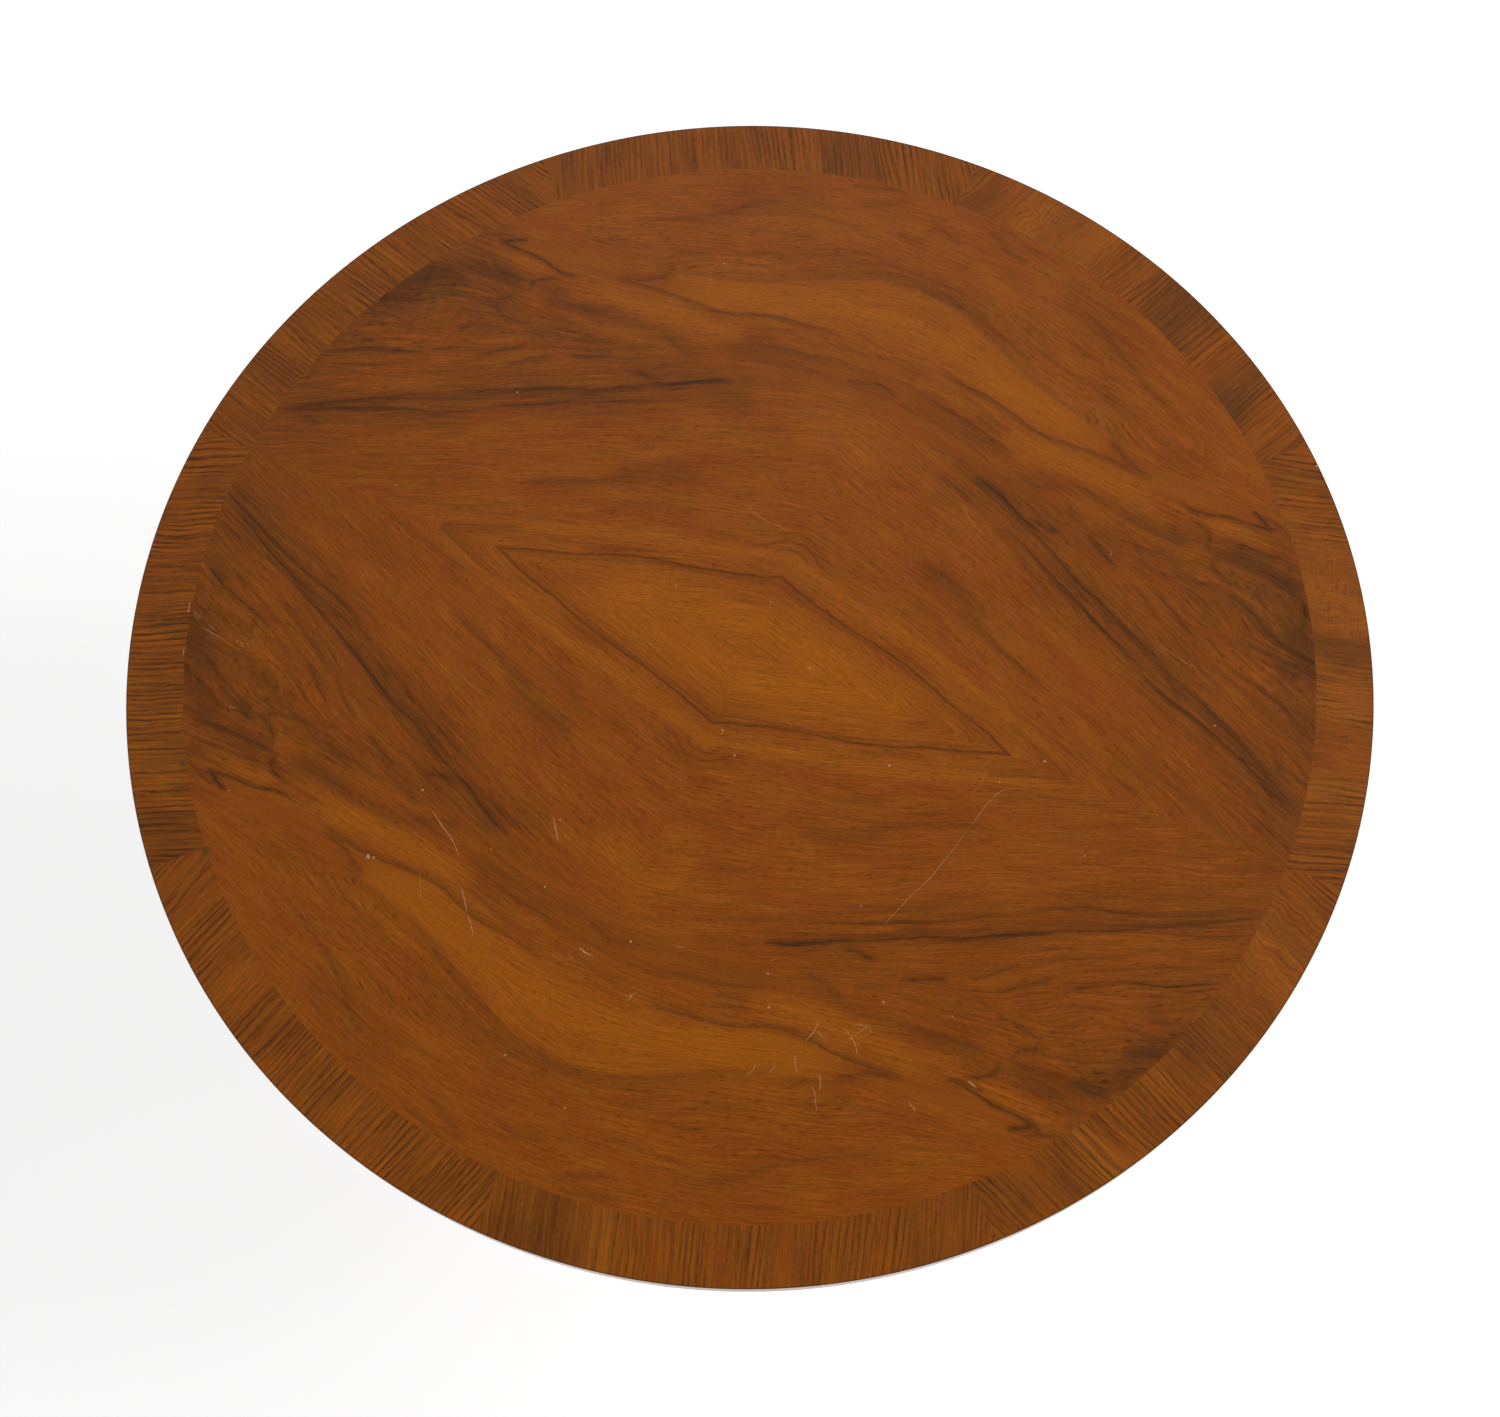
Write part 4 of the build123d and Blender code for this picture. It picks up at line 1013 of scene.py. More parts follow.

# %% [markdown]
# ### Wear in the varnish
# Old varnish breaks to a pale line where something hard was dragged over it, and to a pale spot
# where something was dropped. Each mark is a thin lens of broken varnish, mostly about a
# millimetre wide and a few hundredths high, so that it catches the light from any side. The marks
# are listed in millimetres from the middle of the table.

# %% Places of the marks
# Each row: greatest width, and the points that the scratch goes through.
SCRATCHES = [
    (0.95, [(-190, -246), (-181, -252), (-171, -258), (-162, -263), (-150, -274)]),
    (0.90, [(-136, -298), (-132, -303), (-127, -309), (-122, -316)]),
    (0.85, [(-121, -317), (-115, -323), (-109, -331)]),
    (0.30, [(-175, -300), (-168, -312), (-160, -325)]),
    (0.85, [(-91, -210), (-84, -220), (-78, -228)]),
    (0.80, [(187, -280), (188, -288), (187, -294), (184, -303)]),
    (0.55, [(190, -290), (195, -293), (201, -294)]),
    (0.80, [(209, -279), (218, -284), (224, -289), (228, -295)]),
    (0.55, [(215, -273), (222, -271), (230, -271)]),
    (0.70, [(154, -335), (154, -341), (151, -348)]),
    (0.55, [(168, -328), (169, -333), (167, -339)]),
    (0.80, [(181, -316), (184, -323), (190, -330)]),
    (0.70, [(205, -322), (209, -328), (211, -335)]),
    (0.60, [(203, -334), (208, -338), (211, -344), (216, -351)]),
    (0.50, [(265, -27), (258, -30), (253, -35), (248, -46), (244, -60), (240, -79)]),
    (0.50, [(240, -79), (235, -99), (231, -114), (226, -132), (218, -150), (211, -170), (203, -192)]),
    (0.35, [(235, -21), (235, -29), (234, -38), (230, -47)]),
    (0.50, [(-472, -163), (-466, -165), (-459, -168)]),
    (0.40, [(-469, -166), (-461, -170)]),
    (0.60, [(-455, -175), (-444, -176), (-432, -178)]),
    (0.45, [(-452, -170), (-443, -173)]),
    (0.40, [(-430, -171), (-426, -173)]),
    (0.45, [(-423, -173), (-418, -175)]),
    (0.50, [(-417, -174), (-412, -177)]),
    (0.40, [(-412, -172), (-408, -174)]),
    (0.40, [(-408, -168), (-404, -170)]),
    (0.90, [(-477, -158), (-475, -163), (-473, -168)]),
    (0.80, [(-460, -199), (-458, -205)]),
    (0.60, [(-397, -232), (-393, -231), (-389, -230)]),
    (0.50, [(-424, -147), (-420, -146)]),
    (0.40, [(-60, 128), (-40, 122), (-12, 120)]),
    (0.35, [(120, 210), (133, 196), (150, 186)]),
    (0.35, [(-320, 60), (-300, 66), (-282, 68)]),
    (0.35, [(330, 150), (352, 143), (370, 141)]),
    (1.60, [(-22, -305), (-15, -307), (-8, -307)]),
    (0.50, [(-29, -313), (-26, -315), (-22, -317)]),
    (0.75, [(34, -331), (37, -324), (39, -320)]),
    (0.60, [(52, -271), (56, -271), (59, -269)]),
    (0.55, [(131, -252), (132, -250), (133, -248)]),
    (1.70, [(320, -279), (324, -280), (328, -281)]),
    (0.80, [(282, -314), (286, -317), (290, -319)]),
    (0.45, [(219, -283), (223, -276), (228, -269), (232, -275)]),
]
# Each row: x, y and radius.
NICKS = [
    (403, 371, 1.3), (182, -177, 0.8), (288, -234, 0.9), (-360, -300, 0.7), (-222, -305, 2.4),
    (-217, -304, 1.4), (-206, -233, 1.2), (-128, -257, 0.8), (-71, -269, 1.0), (145, -288, 1.2),
    (231, -246, 1.2), (156, -51, 1.4), (249, -27, 0.9), (278, 6, 1.3), (-84, 30, 1.2),
    (-97, 33, 0.7), (0, 49, 0.9), (57, 5, 1.3), (10, -79, 1.3), (11, -82, 0.8),
    (29, -96, 1.2), (35, -325, 0.9), (-39, -412, 1.0), (25, -432, 1.0), (-85, -210, 0.9),
    (-360, 20, 1.0), (-300, 150, 0.8), (16, -283, 1.2), (133, -262, 1.0), (120, 330, 0.8),
    (262, 214, 0.9), (402, 96, 1.0), (-180, 352, 0.8), (340, -60, 0.9),
]
print(len(SCRATCHES), "scratches and", len(NICKS), "nicks")

# %% [markdown]
# A scratch is a lens carried along its line: its half width is w * sqrt(sin(pi t)), with t from 0
# to 1 along it, so it starts and ends in a point. A nick is a flat dome. Both go a little into the
# veneer, which hides their undersides.


# %% Scratches and nicks
NICK_RINGS = [0.02, 0.5, 1.0, 0.02]  # three rings of the dome as shares of its radius, then its floor
NICK_POINTS = 12
SCRATCH_HEIGHT = 0.04
NICK_HEIGHT = 0.05


def scratch_surface(width, points):
    """Points (n, 4, 3) in millimetres: left, crest, right and keel at every step of the line."""
    line = smooth_line(points, 8)
    t = np.linspace(0.01, 0.99, len(line))
    run = np.gradient(line, axis=0)
    across = np.stack([-run[:, 1], run[:, 0]], -1) / np.hypot(run[:, 0], run[:, 1])[:, None]
    half = (width / 2 * np.sqrt(np.sin(np.pi * t)))[:, None]
    level = np.zeros((len(line), 1))
    left = np.hstack([line + half * across, level])
    crest = np.hstack([line, level + SCRATCH_HEIGHT])
    right = np.hstack([line - half * across, level])
    keel = np.hstack([line, level - SCRATCH_HEIGHT])
    return np.stack([left, crest, right, keel], 1)


def nick_surface(x, y, radius):
    """A dome: height * (1 - r^2), on a slightly uneven outline, and a flat floor under it."""
    turn = np.linspace(0, 2 * np.pi, NICK_POINTS, endpoint=False)
    r, turn = np.meshgrid(NICK_RINGS, turn, indexing="ij")
    uneven = 1 + 0.25 * np.sin(2 * turn + x) + 0.12 * np.sin(3 * turn + y)
    z = NICK_HEIGHT * (1 - r**2)
    z[-1] = -NICK_HEIGHT
    return np.stack([x + radius * r * uneven * np.cos(turn), y + radius * r * np.sin(turn), z], -1)


def join_grids(grids):
    """Several grids (rows, columns, 3) as one list of points and faces, each closed at both ends."""
    points, faces, start = [], [], 0
    for grid in grids:
        rows, columns = grid.shape[:2]
        points.append(grid.reshape(-1, 3))
        faces += grid_faces(rows, columns, start, wrap_columns=True)
        faces.append([start + j for j in range(columns)])
        faces.append([start + (rows - 1) * columns + j for j in range(columns)][::-1])
        start += rows * columns
    return np.vstack(points), faces


def broken_varnish_finish():
    """Dry, pale varnish with specks of dust about 1/400 m across."""
    material, shader = new_finish("broken_varnish", 0.6)
    tree = material.node_tree
    dust = remap(tree, noise(tree, stretch(tree, place_in_space(tree), (400, 400, 400))), 0.3, 0.7)
    tone = blend(tree, dust, colour(150, 92, 46), colour(190, 134, 84))
    tree.links.new(tone, shader.inputs["Base Color"])
    return material


# %% Marks in the varnish
broken_varnish = broken_varnish_finish()
MARKS = {
    "varnish_scratches": [scratch_surface(*row) for row in SCRATCHES],
    "varnish_nicks": [nick_surface(*row) for row in NICKS],
}
for name, surfaces in MARKS.items():
    points, faces = join_grids(surfaces)
    faces = outwards(points, faces)
    piece = add_piece(name, points * MM + (0, 0, top_z), faces, "top", broken_varnish)

# %% [markdown]
# ## Solid wood
# The column, legs, block and rails are sawn from solid wood. Inside a log the growth rings are
# tubes round the pith, so a piece cut from it shows long lines on the sides, arches where the
# cutter crosses the tubes, and arcs on the ends. The material does the same: each point's place
# becomes a distance along the log and a distance from its pith, and the rings are read from the
# latter. Nothing is painted on, so end grain and side grain agree at every edge.


# %% The place of a point in its log
def dot(tree, vector, direction):
    """How far a vector reaches in a direction."""
    node = tree.nodes.new("ShaderNodeVectorMath")
    node.operation = "DOT_PRODUCT"
    feed(tree, node.inputs[0], vector)
    node.inputs[1].default_value = direction
    return node.outputs["Value"]


def vector_of(tree, x, y, z=0.0):
    """A vector made of three numbers."""
    node = tree.nodes.new("ShaderNodeCombineXYZ")
    for socket, value in zip(node.inputs, (x, y, z)):
        feed(tree, socket, value)
    return node.outputs[0]


def length_of(tree, x, y):
    """sqrt(x^2 + y^2)."""
    node = tree.nodes.new("ShaderNodeVectorMath")
    node.operation = "LENGTH"
    feed(tree, node.inputs[0], vector_of(tree, x, y))
    return node.outputs["Value"]


def log_axes(along):
    """Three unit vectors at right angles: along the grain, and two across it."""
    along = Vector(along).normalized()
    side = along.cross(Vector((0, 0, 1)))
    side = side.normalized() if side.length > 0.1 else Vector((1, 0, 0))
    return along, side, side.cross(along)


# %% [markdown]
# The rings are noise along one line, the distance from the pith. Where it is high, the ring is
# dark. The pith is never quite straight, so slow noise bends the distance. The pores of walnut are
# short dark dashes along the grain, and polish fills them, so they show more in colour than in
# relief.


# %% Solid wood finish
BEND = 30.0  # millimetres that the pith wanders from one side to the other
LOG_APART = 60.0  # millimetres between the places where two pieces read the same noise
DRAWN_OUT = 0.0015  # lumps per millimetre along a ring
POLISH_SHINE = 0.3
LOG_TEXTURES = {
    "bend": ((0.004, 0.014, 0.014), 2.0, 0.5),
    "fibre": ((0.020, 0.90, 0.90), 3.0, 0.7),
    "pore": ((0.070, 1.30, 1.30), 1.0, 0.5),
}


def solid_wood(name, along, pith, light, dark, roughness, ring=4.5, seed=1):
    """Wood sawn from a log whose pith lies `pith` millimetres from the origin, across the grain."""
    material, shader = new_finish(name, roughness)
    tree = material.node_tree
    place = place_in_space(tree)
    length, side, rise = (dot(tree, place, axis / MM) for axis in log_axes(along))
    grain = vector_of(tree, length, side, calc(tree, "ADD", rise, LOG_APART * seed))
    look = textures(tree, grain, LOG_TEXTURES)
    bend = calc(tree, "SUBTRACT", look["bend"], 0.5)
    off_pith = [calc(tree, "SUBTRACT", reach, middle) for reach, middle in zip((side, rise), pith)]
    from_pith = calc(tree, "ADD", length_of(tree, *off_pith), times(tree, bend, BEND))
    across = times(tree, from_pith, 1.0 / ring)
    drawn_out = times(tree, length, DRAWN_OUT)
    rings = noise(tree, vector_of(tree, across, drawn_out, 7.0 * seed), 2.0, 0.6)
    bands = noise(tree, vector_of(tree, times(tree, across, 0.22), drawn_out, 3.0 + seed))

    mean = tuple(0.5 * (a + b) for a, b in zip(light, dark))
    tone = blend(tree, times(tree, remap(tree, bands, 0.36, 0.64), 0.75), light, mean)
    late = (remap(tree, rings, 0.50, 0.64), remap(tree, look["fibre"], 0.32, 0.68, 0.7, 1.2))
    tone = blend(tree, times(tree, *late, 0.62, clamp=True), tone, dark)
    lightness = times(
        tree,
        remap(tree, look["fibre"], 0.30, 0.70, 0.86, 1.14),
        remap(tree, look["pore"], 0.60, 0.70, 1.0, 0.75),
    )
    tree.links.new(darken(tree, tone, lightness), shader.inputs["Base Color"])
    shader.inputs["Specular IOR Level"].default_value = POLISH_SHINE
    gloss = remap(tree, look["fibre"], 0.3, 0.7, roughness - 0.05, roughness + 0.06)
    tree.links.new(gloss, shader.inputs["Roughness"])
    bump(tree, shader, look["pore"], 0.00004)
    return material


# %% [markdown]
# ### The edge of the top
# The core is hidden by a strip of solid wood glued round it, which meets the veneer at the upper
# arris. Its grain runs round the table, so its material reads the angle round the centre in place
# of a straight length. The strip is a ring whose section is a short closed line, and its lower
# corner is eased like the upper one.


# %% Edge strip
EDGE_SHINE = 0.38
EDGE_TEXTURES = {
    "streak": ((0.006, 0.30, 1.0), 3.0, 0.6),
    "fibre": ((0.025, 1.10, 1.0), 3.0, 0.7),
}


def edge_finish():
    """Polished edge wood whose grain runs round the top."""
    material, shader = new_finish("edge_wood", 0.2)
    tree = material.node_tree
    x, y, z = parts_of(tree, place_in_space(tree))
    round_the_edge = times(tree, calc(tree, "ARCTAN2", y, x), top_radius / MM)
    grain = vector_of(tree, round_the_edge, times(tree, z, 1 / MM), 5.0)
    look = textures(tree, grain, EDGE_TEXTURES)
    share = remap(tree, look["streak"], 0.35, 0.65)
    tone = blend(tree, share, colour(150, 90, 42), colour(112, 63, 28))
    lightness = remap(tree, look["fibre"], 0.3, 0.7, 0.85, 1.15)
    tree.links.new(darken(tree, tone, lightness), shader.inputs["Base Color"])
    shader.inputs["Specular IOR Level"].default_value = EDGE_SHINE
    bump(tree, shader, look["fibre"], 0.00002)
    return material


EDGE_ARCS = 720
strip_low, strip_high = lipping_box[0][2], lipping_box[1][2]
strip_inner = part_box("core_board")[1][0]
ease = np.linspace(-QUARTER, 0, 5)
centre = (top_radius - arris, strip_low + arris)
eased_corner = np.stack([np.cos(ease), np.sin(ease)], -1) * arris + centre
others = [(top_radius, strip_high), (strip_inner, strip_high), (strip_inner, strip_low)]
section = np.vstack([eased_corner, others])
points = swept(section, np.linspace(0, 2 * np.pi, EDGE_ARCS, endpoint=False))
faces = outwards(points, grid_faces(EDGE_ARCS, len(section), wrap_rows=True, wrap_columns=True))
add_piece("edge_strip", points, faces, "top", edge_finish(), None, ["edge_lipping"], smooth=False)

# %% [markdown]
# ## Metal
# The catch, the bushes and the castors are cast or sheet brass under old lacquer. Where hands and
# floors rub it, brass stays bright; elsewhere it goes brown in soft clouds. Rubbing also leaves
# fine scratches in every direction, which show as an uneven gloss.


# %% Metal finishes
CLOUDED = (0.36, 0.66)  # between these values of its noise, bright metal turns to aged metal
RUBBED = 0.10  # how much rougher or smoother scratches make it
METAL_TEXTURES = {
    "cloud": ((0.07, 0.07, 0.07), 4.0, 0.6),
    "spot": ((0.50, 0.50, 0.50), 2.0, 0.5),
    "rub": ((0.20, 2.6, 1.4), 2.0, 0.5),
}


def metal_finish(name, bright, aged, roughness):
    """A metal whose colour goes from bright to aged in clouds, with fine scratches in its gloss."""
    material, shader = new_finish(name, roughness, metallic=1.0)
    tree = material.node_tree
    place = stretch(tree, place_in_space(tree), (1 / MM, 1 / MM, 1 / MM))
    look = textures(tree, place, METAL_TEXTURES)
    tone = blend(tree, remap(tree, look["cloud"], *CLOUDED), bright, aged)
    tone = darken(tree, tone, remap(tree, look["spot"], 0.60, 0.75, 1.0, 0.72))
    tree.links.new(tone, shader.inputs["Base Color"])
    gloss = calc(tree, "ADD", remap(tree, look["rub"], 0.35, 0.65, -RUBBED, RUBBED), roughness)
    gloss = calc(tree, "ADD", gloss, remap(tree, look["cloud"], *CLOUDED, 0.0, 0.12))
    tree.links.new(gloss, shader.inputs["Roughness"])
    bump(tree, shader, look["rub"], 0.000012)
    return material


# Each row: the material slot, its bright colour, its aged colour and its roughness.
METAL_ROWS = [
    ("brass", (196, 156, 88), (128, 92, 46), 0.30),
    ("spring_brass", (186, 148, 86), (120, 88, 46), 0.34),
    ("screw_brass", (188, 150, 88), (110, 80, 42), 0.32),
    ("screw_steel", (138, 134, 128), (82, 72, 62), 0.38),
    ("iron", (74, 70, 66), (58, 44, 34), 0.52),
]
METALS = {}
for slot, bright, aged, roughness in METAL_ROWS:
    METALS[slot] = metal_finish(slot, colour(*bright), colour(*aged), roughness)

# %% [markdown]
# ### Castor cups
# Each leg ends in a cast brass cup. Its section is a square with round corners, which one formula
# gives all the way round: x = a * cos(t)^(2/n), y = b * sin(t)^(2/n), with the signs kept and n = 8.
# The cup is that section carried along the leg, level below and drawn in a little at the sides
# and the top, wider in a bead at its mouth, and closed by a softly rounded end. A turned boss
# under it takes the swivel.

# %% The cup's measures
# In millimetres; the first three are distances from the column's axis.
cup_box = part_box("castor_cup_1")
cup_low, cup_high = cup_box[0][2] / MM, cup_box[1][2] / MM
CUP_MOUTH = 372.0
CUP_END = 424.0
CUP_SWIVEL = 398.0
CUP_HALF_WIDTH = 17.0
CUP_SIDE_TAPER = 2.0
CUP_TOP_TAPER = 4.5
CUP_BEAD = 1.4  # how far the bead stands out
BEAD_HALF = 2.5  # half its length along the cup
CUP_BOSS = 3.0
CUP_WALL = 1.7
END_ROUNDING = 3.0
CUP_SIDES = 96
BOSS_SIDES = 48
SQUARENESS = 8  # the n of the formula
# The end walls run in from all sides to this depth, just short of meeting, and one face closes them.
END_WALL_RUNS_IN = 14.6
cup_top = cup_high - CUP_BEAD
cup_bottom = cup_low + CUP_BOSS
print("the cup stands from", round(cup_low, 1), "to", round(cup_high, 1), "mm")


# %% The cup's surfaces
def rounded_square(count):
    """Points round a square of half size 1 with soft corners: cos and sin to the power 2 / n."""
    t = np.linspace(0, 2 * np.pi, count, endpoint=False) + np.pi / count
    across, up = (np.sign(part) * np.abs(part) ** (2 / SQUARENESS) for part in (np.cos(t), np.sin(t)))
    return across, up


def cup_profile():
    """Reach from the column and how far the wall stands in from the cup's outside, along the cup."""
    bead_turn = np.linspace(0, 2 * QUARTER, 9)
    bead = np.stack([BEAD_HALF * (1 - np.cos(bead_turn)), -CUP_BEAD * np.sin(bead_turn)], -1)
    bead += (CUP_MOUTH, 0)
    groove = np.array([(CUP_MOUTH + 5.4, 0.5), (CUP_MOUTH + 6.0, 0.0), (CUP_MOUTH + 7.5, 0.0)])
    corner_turn = np.linspace(0, QUARTER, 7)
    corner = np.stack([np.sin(corner_turn) - 1, 1 - np.cos(corner_turn)], -1) * END_ROUNDING
    corner += (CUP_END, 0.4)
    closing = np.array([(CUP_END + 0.5, 9.0), (CUP_END + 0.6, END_WALL_RUNS_IN)])
    floor = CUP_END - 2.2
    inside = [(CUP_MOUTH + 0.3, CUP_WALL), (floor, CUP_WALL), (floor, 9.0), (floor, END_WALL_RUNS_IN)]
    return np.vstack([inside[::-1], bead, groove, corner, closing])


def turned(profile, centre_reach):
    """A profile of (radius, height) turned about the upright swivel line; grid (rows, count, 3)."""
    t = np.linspace(0, 2 * np.pi, BOSS_SIDES, endpoint=False)
    radius, height = (column[:, None] for column in profile.T)
    parts = (centre_reach + radius * np.cos(t), radius * np.sin(t), height)
    return np.stack(np.broadcast_arrays(*parts), -1)


def cup_surfaces():
    """The cup and its boss along +X, in millimetres."""
    reach, inset = (column[:, None] for column in cup_profile().T)
    side, up_down = rounded_square(CUP_SIDES)
    along = np.clip((reach - CUP_MOUTH) / (CUP_END - CUP_MOUTH), 0, 1)
    half_width = CUP_HALF_WIDTH - CUP_SIDE_TAPER * along - inset
    top = cup_top - CUP_TOP_TAPER * along
    half_height = (top - cup_bottom) / 2 - inset
    parts = (reach, half_width * side, (top + cup_bottom) / 2 + half_height * up_down)
    shell = np.stack(np.broadcast_arrays(*parts), -1)
    boss_top = cup_low + CUP_BOSS + 1
    flank = [(12.8, boss_top), (12.8, cup_low + 2.6), (12.2, cup_low + 1.8), (11.6, cup_low)]
    boss = np.array([(0.1, boss_top), *flank, (0.1, cup_low)])
    return [shell, turned(boss, CUP_SWIVEL)]


# %% Castor cups
cup, faces = join_grids(cup_surfaces())
faces = outwards(cup, faces)
for number, angle in enumerate(LEG_ANGLES, 1):
    x, y = turned_round(cup[:, 0], cup[:, 1], angle)
    points = np.stack([x, y, cup[:, 2]], -1) * MM
    node = f"castor_cup_{number}"
    add_piece(f"cast_{node}", points, faces, "pedestal", METALS["brass"], None, [node])

# %% [markdown]
# ### The screws of the rails and the castor cups
# Five slotted screws hold each rail to the board. In the level part of a rail they sit deep in
# drilled pockets. Towards its ends the underside sweeps up, and there a screw stands square to
# the curve and is shorter, so that its head lies flush with the wood. The castor cups have the
# same screw at a little over half the size, one in each side.
#
# The head's face is a grid whose lines run along the slot. A line x = constant of a disc of
# radius R is a chord, y = v * sqrt(R^2 - x^2), so the slot's walls come out straight and sharp.
# A ray sent up beside each screw finds where the wood is, and which way it faces.

# %% The screws' measures
# In millimetres, of a rail's screw; a cup's screw is the same shape made smaller.
HEAD_RADIUS = 4.5
HEAD_HEIGHT = 2.6
SHANK_RADIUS = 2.2
SLOT_HALF_WIDTH = 0.6
SLOT_DEPTH = 1.1
HEAD_STANDS = 0.15  # how far a head stands out of the wood
POINT_LENGTH = 5.0
TIP_RADIUS = 0.3
POINTS_ON_LINE = 9
LINES_BESIDE_SLOT = 12
LAST_LINE = 0.985  # where the outermost line lies, as a share of the head's radius
RAY_BESIDE = 1.5  # how far beside a screw the ray goes up, in head radii
CUP_SCREW_SIZE = 0.58
CUP_SCREW_LENGTH = 10.0
CUP_SCREW_INSET = 12.0  # from the cup's mouth
print("heads", 2 * HEAD_RADIUS, "mm across on the rails,", 2 * HEAD_RADIUS * CUP_SCREW_SIZE, "on the cups")


# %% One screw
def screw(length):
    """A slotted screw in millimetres: its face at z = 0 looking up, its tip at z = -length."""
    side = np.linspace(SLOT_HALF_WIDTH, LAST_LINE * HEAD_RADIUS, LINES_BESIDE_SLOT)
    x = np.concatenate([-side[::-1], [-SLOT_HALF_WIDTH, SLOT_HALF_WIDTH], side])
    z = np.zeros(len(x))
    z[len(side) : len(side) + 2] = -SLOT_DEPTH
    cone = HEAD_RADIUS + z * (HEAD_RADIUS - SHANK_RADIUS) / HEAD_HEIGHT
    v = np.linspace(-1, 1, POINTS_ON_LINE)
    y = np.sqrt(cone**2 - x**2)[:, None] * v
    face = np.stack(np.broadcast_arrays(x[:, None], y, z[:, None]), -1)
    number = np.arange(face[..., 0].size).reshape(face.shape[:2])
    rim = np.concatenate([number[:, 0], number[-1, 1:-1], number[::-1, -1], number[0, -2:0:-1]])
    points = face.reshape(-1, 3)
    turn = np.arctan2(points[rim, 1], points[rim, 0])
    rings = [points]
    shank = [(SHANK_RADIUS, HEAD_HEIGHT), (SHANK_RADIUS, length - POINT_LENGTH), (TIP_RADIUS, length)]
    for radius, depth in shank:
        ring = [radius * np.cos(turn), radius * np.sin(turn), np.full(len(turn), -depth)]
        rings.append(np.stack(ring, -1))
    faces = grid_faces(*face.shape[:2])
    loops = [rim] + [len(points) + k * len(rim) + np.arange(len(rim)) for k in range(len(shank))]
    for upper, lower in zip(loops[:-1], loops[1:]):
        faces += np.stack([upper, lower, np.roll(lower, -1), np.roll(upper, -1)], -1).tolist()
    faces.append(loops[-1][::-1].tolist())
    return np.vstack(rings), faces


def driven_in(length, head, out, size=1.0):
    """A screw with the middle of its face at `head` in metres, looking along `out`."""
    shape, faces = screw(length / size)
    axes = np.array(Vector(out).to_track_quat("Z", "X").to_matrix())
    return shape @ axes.T * size * MM + np.array(head), faces


def add_screws(name, screws, body, node, metal):
    """All the screws of one node as one piece."""
    starts = np.cumsum([0] + [len(points) for points, _ in screws])
    faces = []
    for start, (_, made) in zip(starts.tolist(), screws):
        faces += [[number + start for number in face] for face in made]
    points = np.vstack([points for points, _ in screws])
    add_piece(name, points, outwards(points, faces), body, METALS[metal], None, [node], smooth=False)


# %% Screws of the rails
screws_low, screws_high = (corner[2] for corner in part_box("bearer_screws"))
screw_pitch = (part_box("bearer_screws")[1][1] - HEAD_RADIUS * MM) / 2
rail_screws = []
for rail in ("bearer_left", "bearer_right"):
    low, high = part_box(rail)
    middle = (low[0] + high[0]) / 2
    wood = BVHTree.FromObject(frame["nodes"][rail], bpy.context.evaluated_depsgraph_get())
    for step in range(-2, 3):
        beside = Vector((middle + RAY_BESIDE * HEAD_RADIUS * MM, step * screw_pitch, 0))
        surface, facing = wood.ray_cast(beside, Vector((0, 0, 1)))[:2]
        head, out = Vector((middle, step * screw_pitch, screws_low)), Vector((0, 0, -1))
        if surface.z > screws_low:
            out = facing
            head.z = surface.z
            head += out * HEAD_STANDS * MM
        rail_screws.append(driven_in((screws_high - head.z) / MM, head, out))
        print(rail, "screw at", round(head.y / MM), "head at height", round(head.z / MM, 1))
add_screws("rail_screws", rail_screws, "top", "bearer_screws", "screw_steel")

# %% Screws of the castor cups
cup_screws = []
cup_narrows = CUP_SIDE_TAPER * CUP_SCREW_INSET / (CUP_END - CUP_MOUTH)
stands_out = CUP_HALF_WIDTH - cup_narrows + HEAD_STANDS
cup_middle = sum(corner[2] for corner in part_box("castor_cup_screws")) / 2
for angle in LEG_ANGLES:
    down_the_leg = Vector((math.cos(angle), math.sin(angle), 0))
    for side in (-1, 1):
        out = Vector((-math.sin(angle), math.cos(angle), 0)) * side
        head = (down_the_leg * (CUP_MOUTH + CUP_SCREW_INSET) + out * stands_out) * MM
        head.z = cup_middle
        cup_screws.append(driven_in(CUP_SCREW_LENGTH, head, out, CUP_SCREW_SIZE))
add_screws("cup_screws", cup_screws, "pedestal", "castor_cup_screws", "screw_brass")

# %% [markdown]
# ## Finishes for the pieces that keep their CAD shape
# What is left has the right shape already, so it only gets a finish. Each leg is sawn from its own
# plank, with the grain running down the leg, and the column from a square of its own.

# %% Finishes of the remaining pieces
POLISHED = ((124, 64, 26), (58, 30, 16), 0.30)
LEG_FALL = -0.42  # how far the grain of a leg falls for each metre outwards
# Each row: the node, the material's name, the way the grain runs, the pith, the light and the dark
# colour, and the roughness. The backing veneer alone shows rings of another width.
WOOD_ROWS = [
    ("column", "column_wood", (0, 0, 1), (64, 38), *POLISHED),
    ("top_block", "block_wood", (1, 0, 0), (20, -90), (116, 62, 28), (62, 34, 18), 0.42),
    ("bearer_left", "left_rail_wood", (0, 1, 0.01), (70, 20), (122, 68, 32), (70, 38, 20), 0.45),
    ("bearer_right", "right_rail_wood", (0, 1, -0.01), (-90, 45), (118, 65, 30), (68, 37, 20), 0.45),
    ("core_board", "core_wood", (1, 0, 0), (200, -80), (178, 140, 96), (132, 96, 60), 0.7),
    ("balance_veneer", "backing_veneer", (0, 1, 0), (380, 420), (112, 66, 36), (64, 38, 22), 0.55, 9.0),
    ("tenon_wedge", "wedge_wood", (0, 0, 1), (50, 50), (168, 122, 72), (116, 78, 42), 0.6),
]
for number, angle in enumerate(LEG_ANGLES):
    down_the_leg = (math.cos(angle), math.sin(angle), LEG_FALL)
    pith = (60 + 15 * number, 70 - 22 * number)
    WOOD_ROWS.append((f"leg_{number + 1}", f"leg_wood_{number + 1}", down_the_leg, pith, *POLISHED))

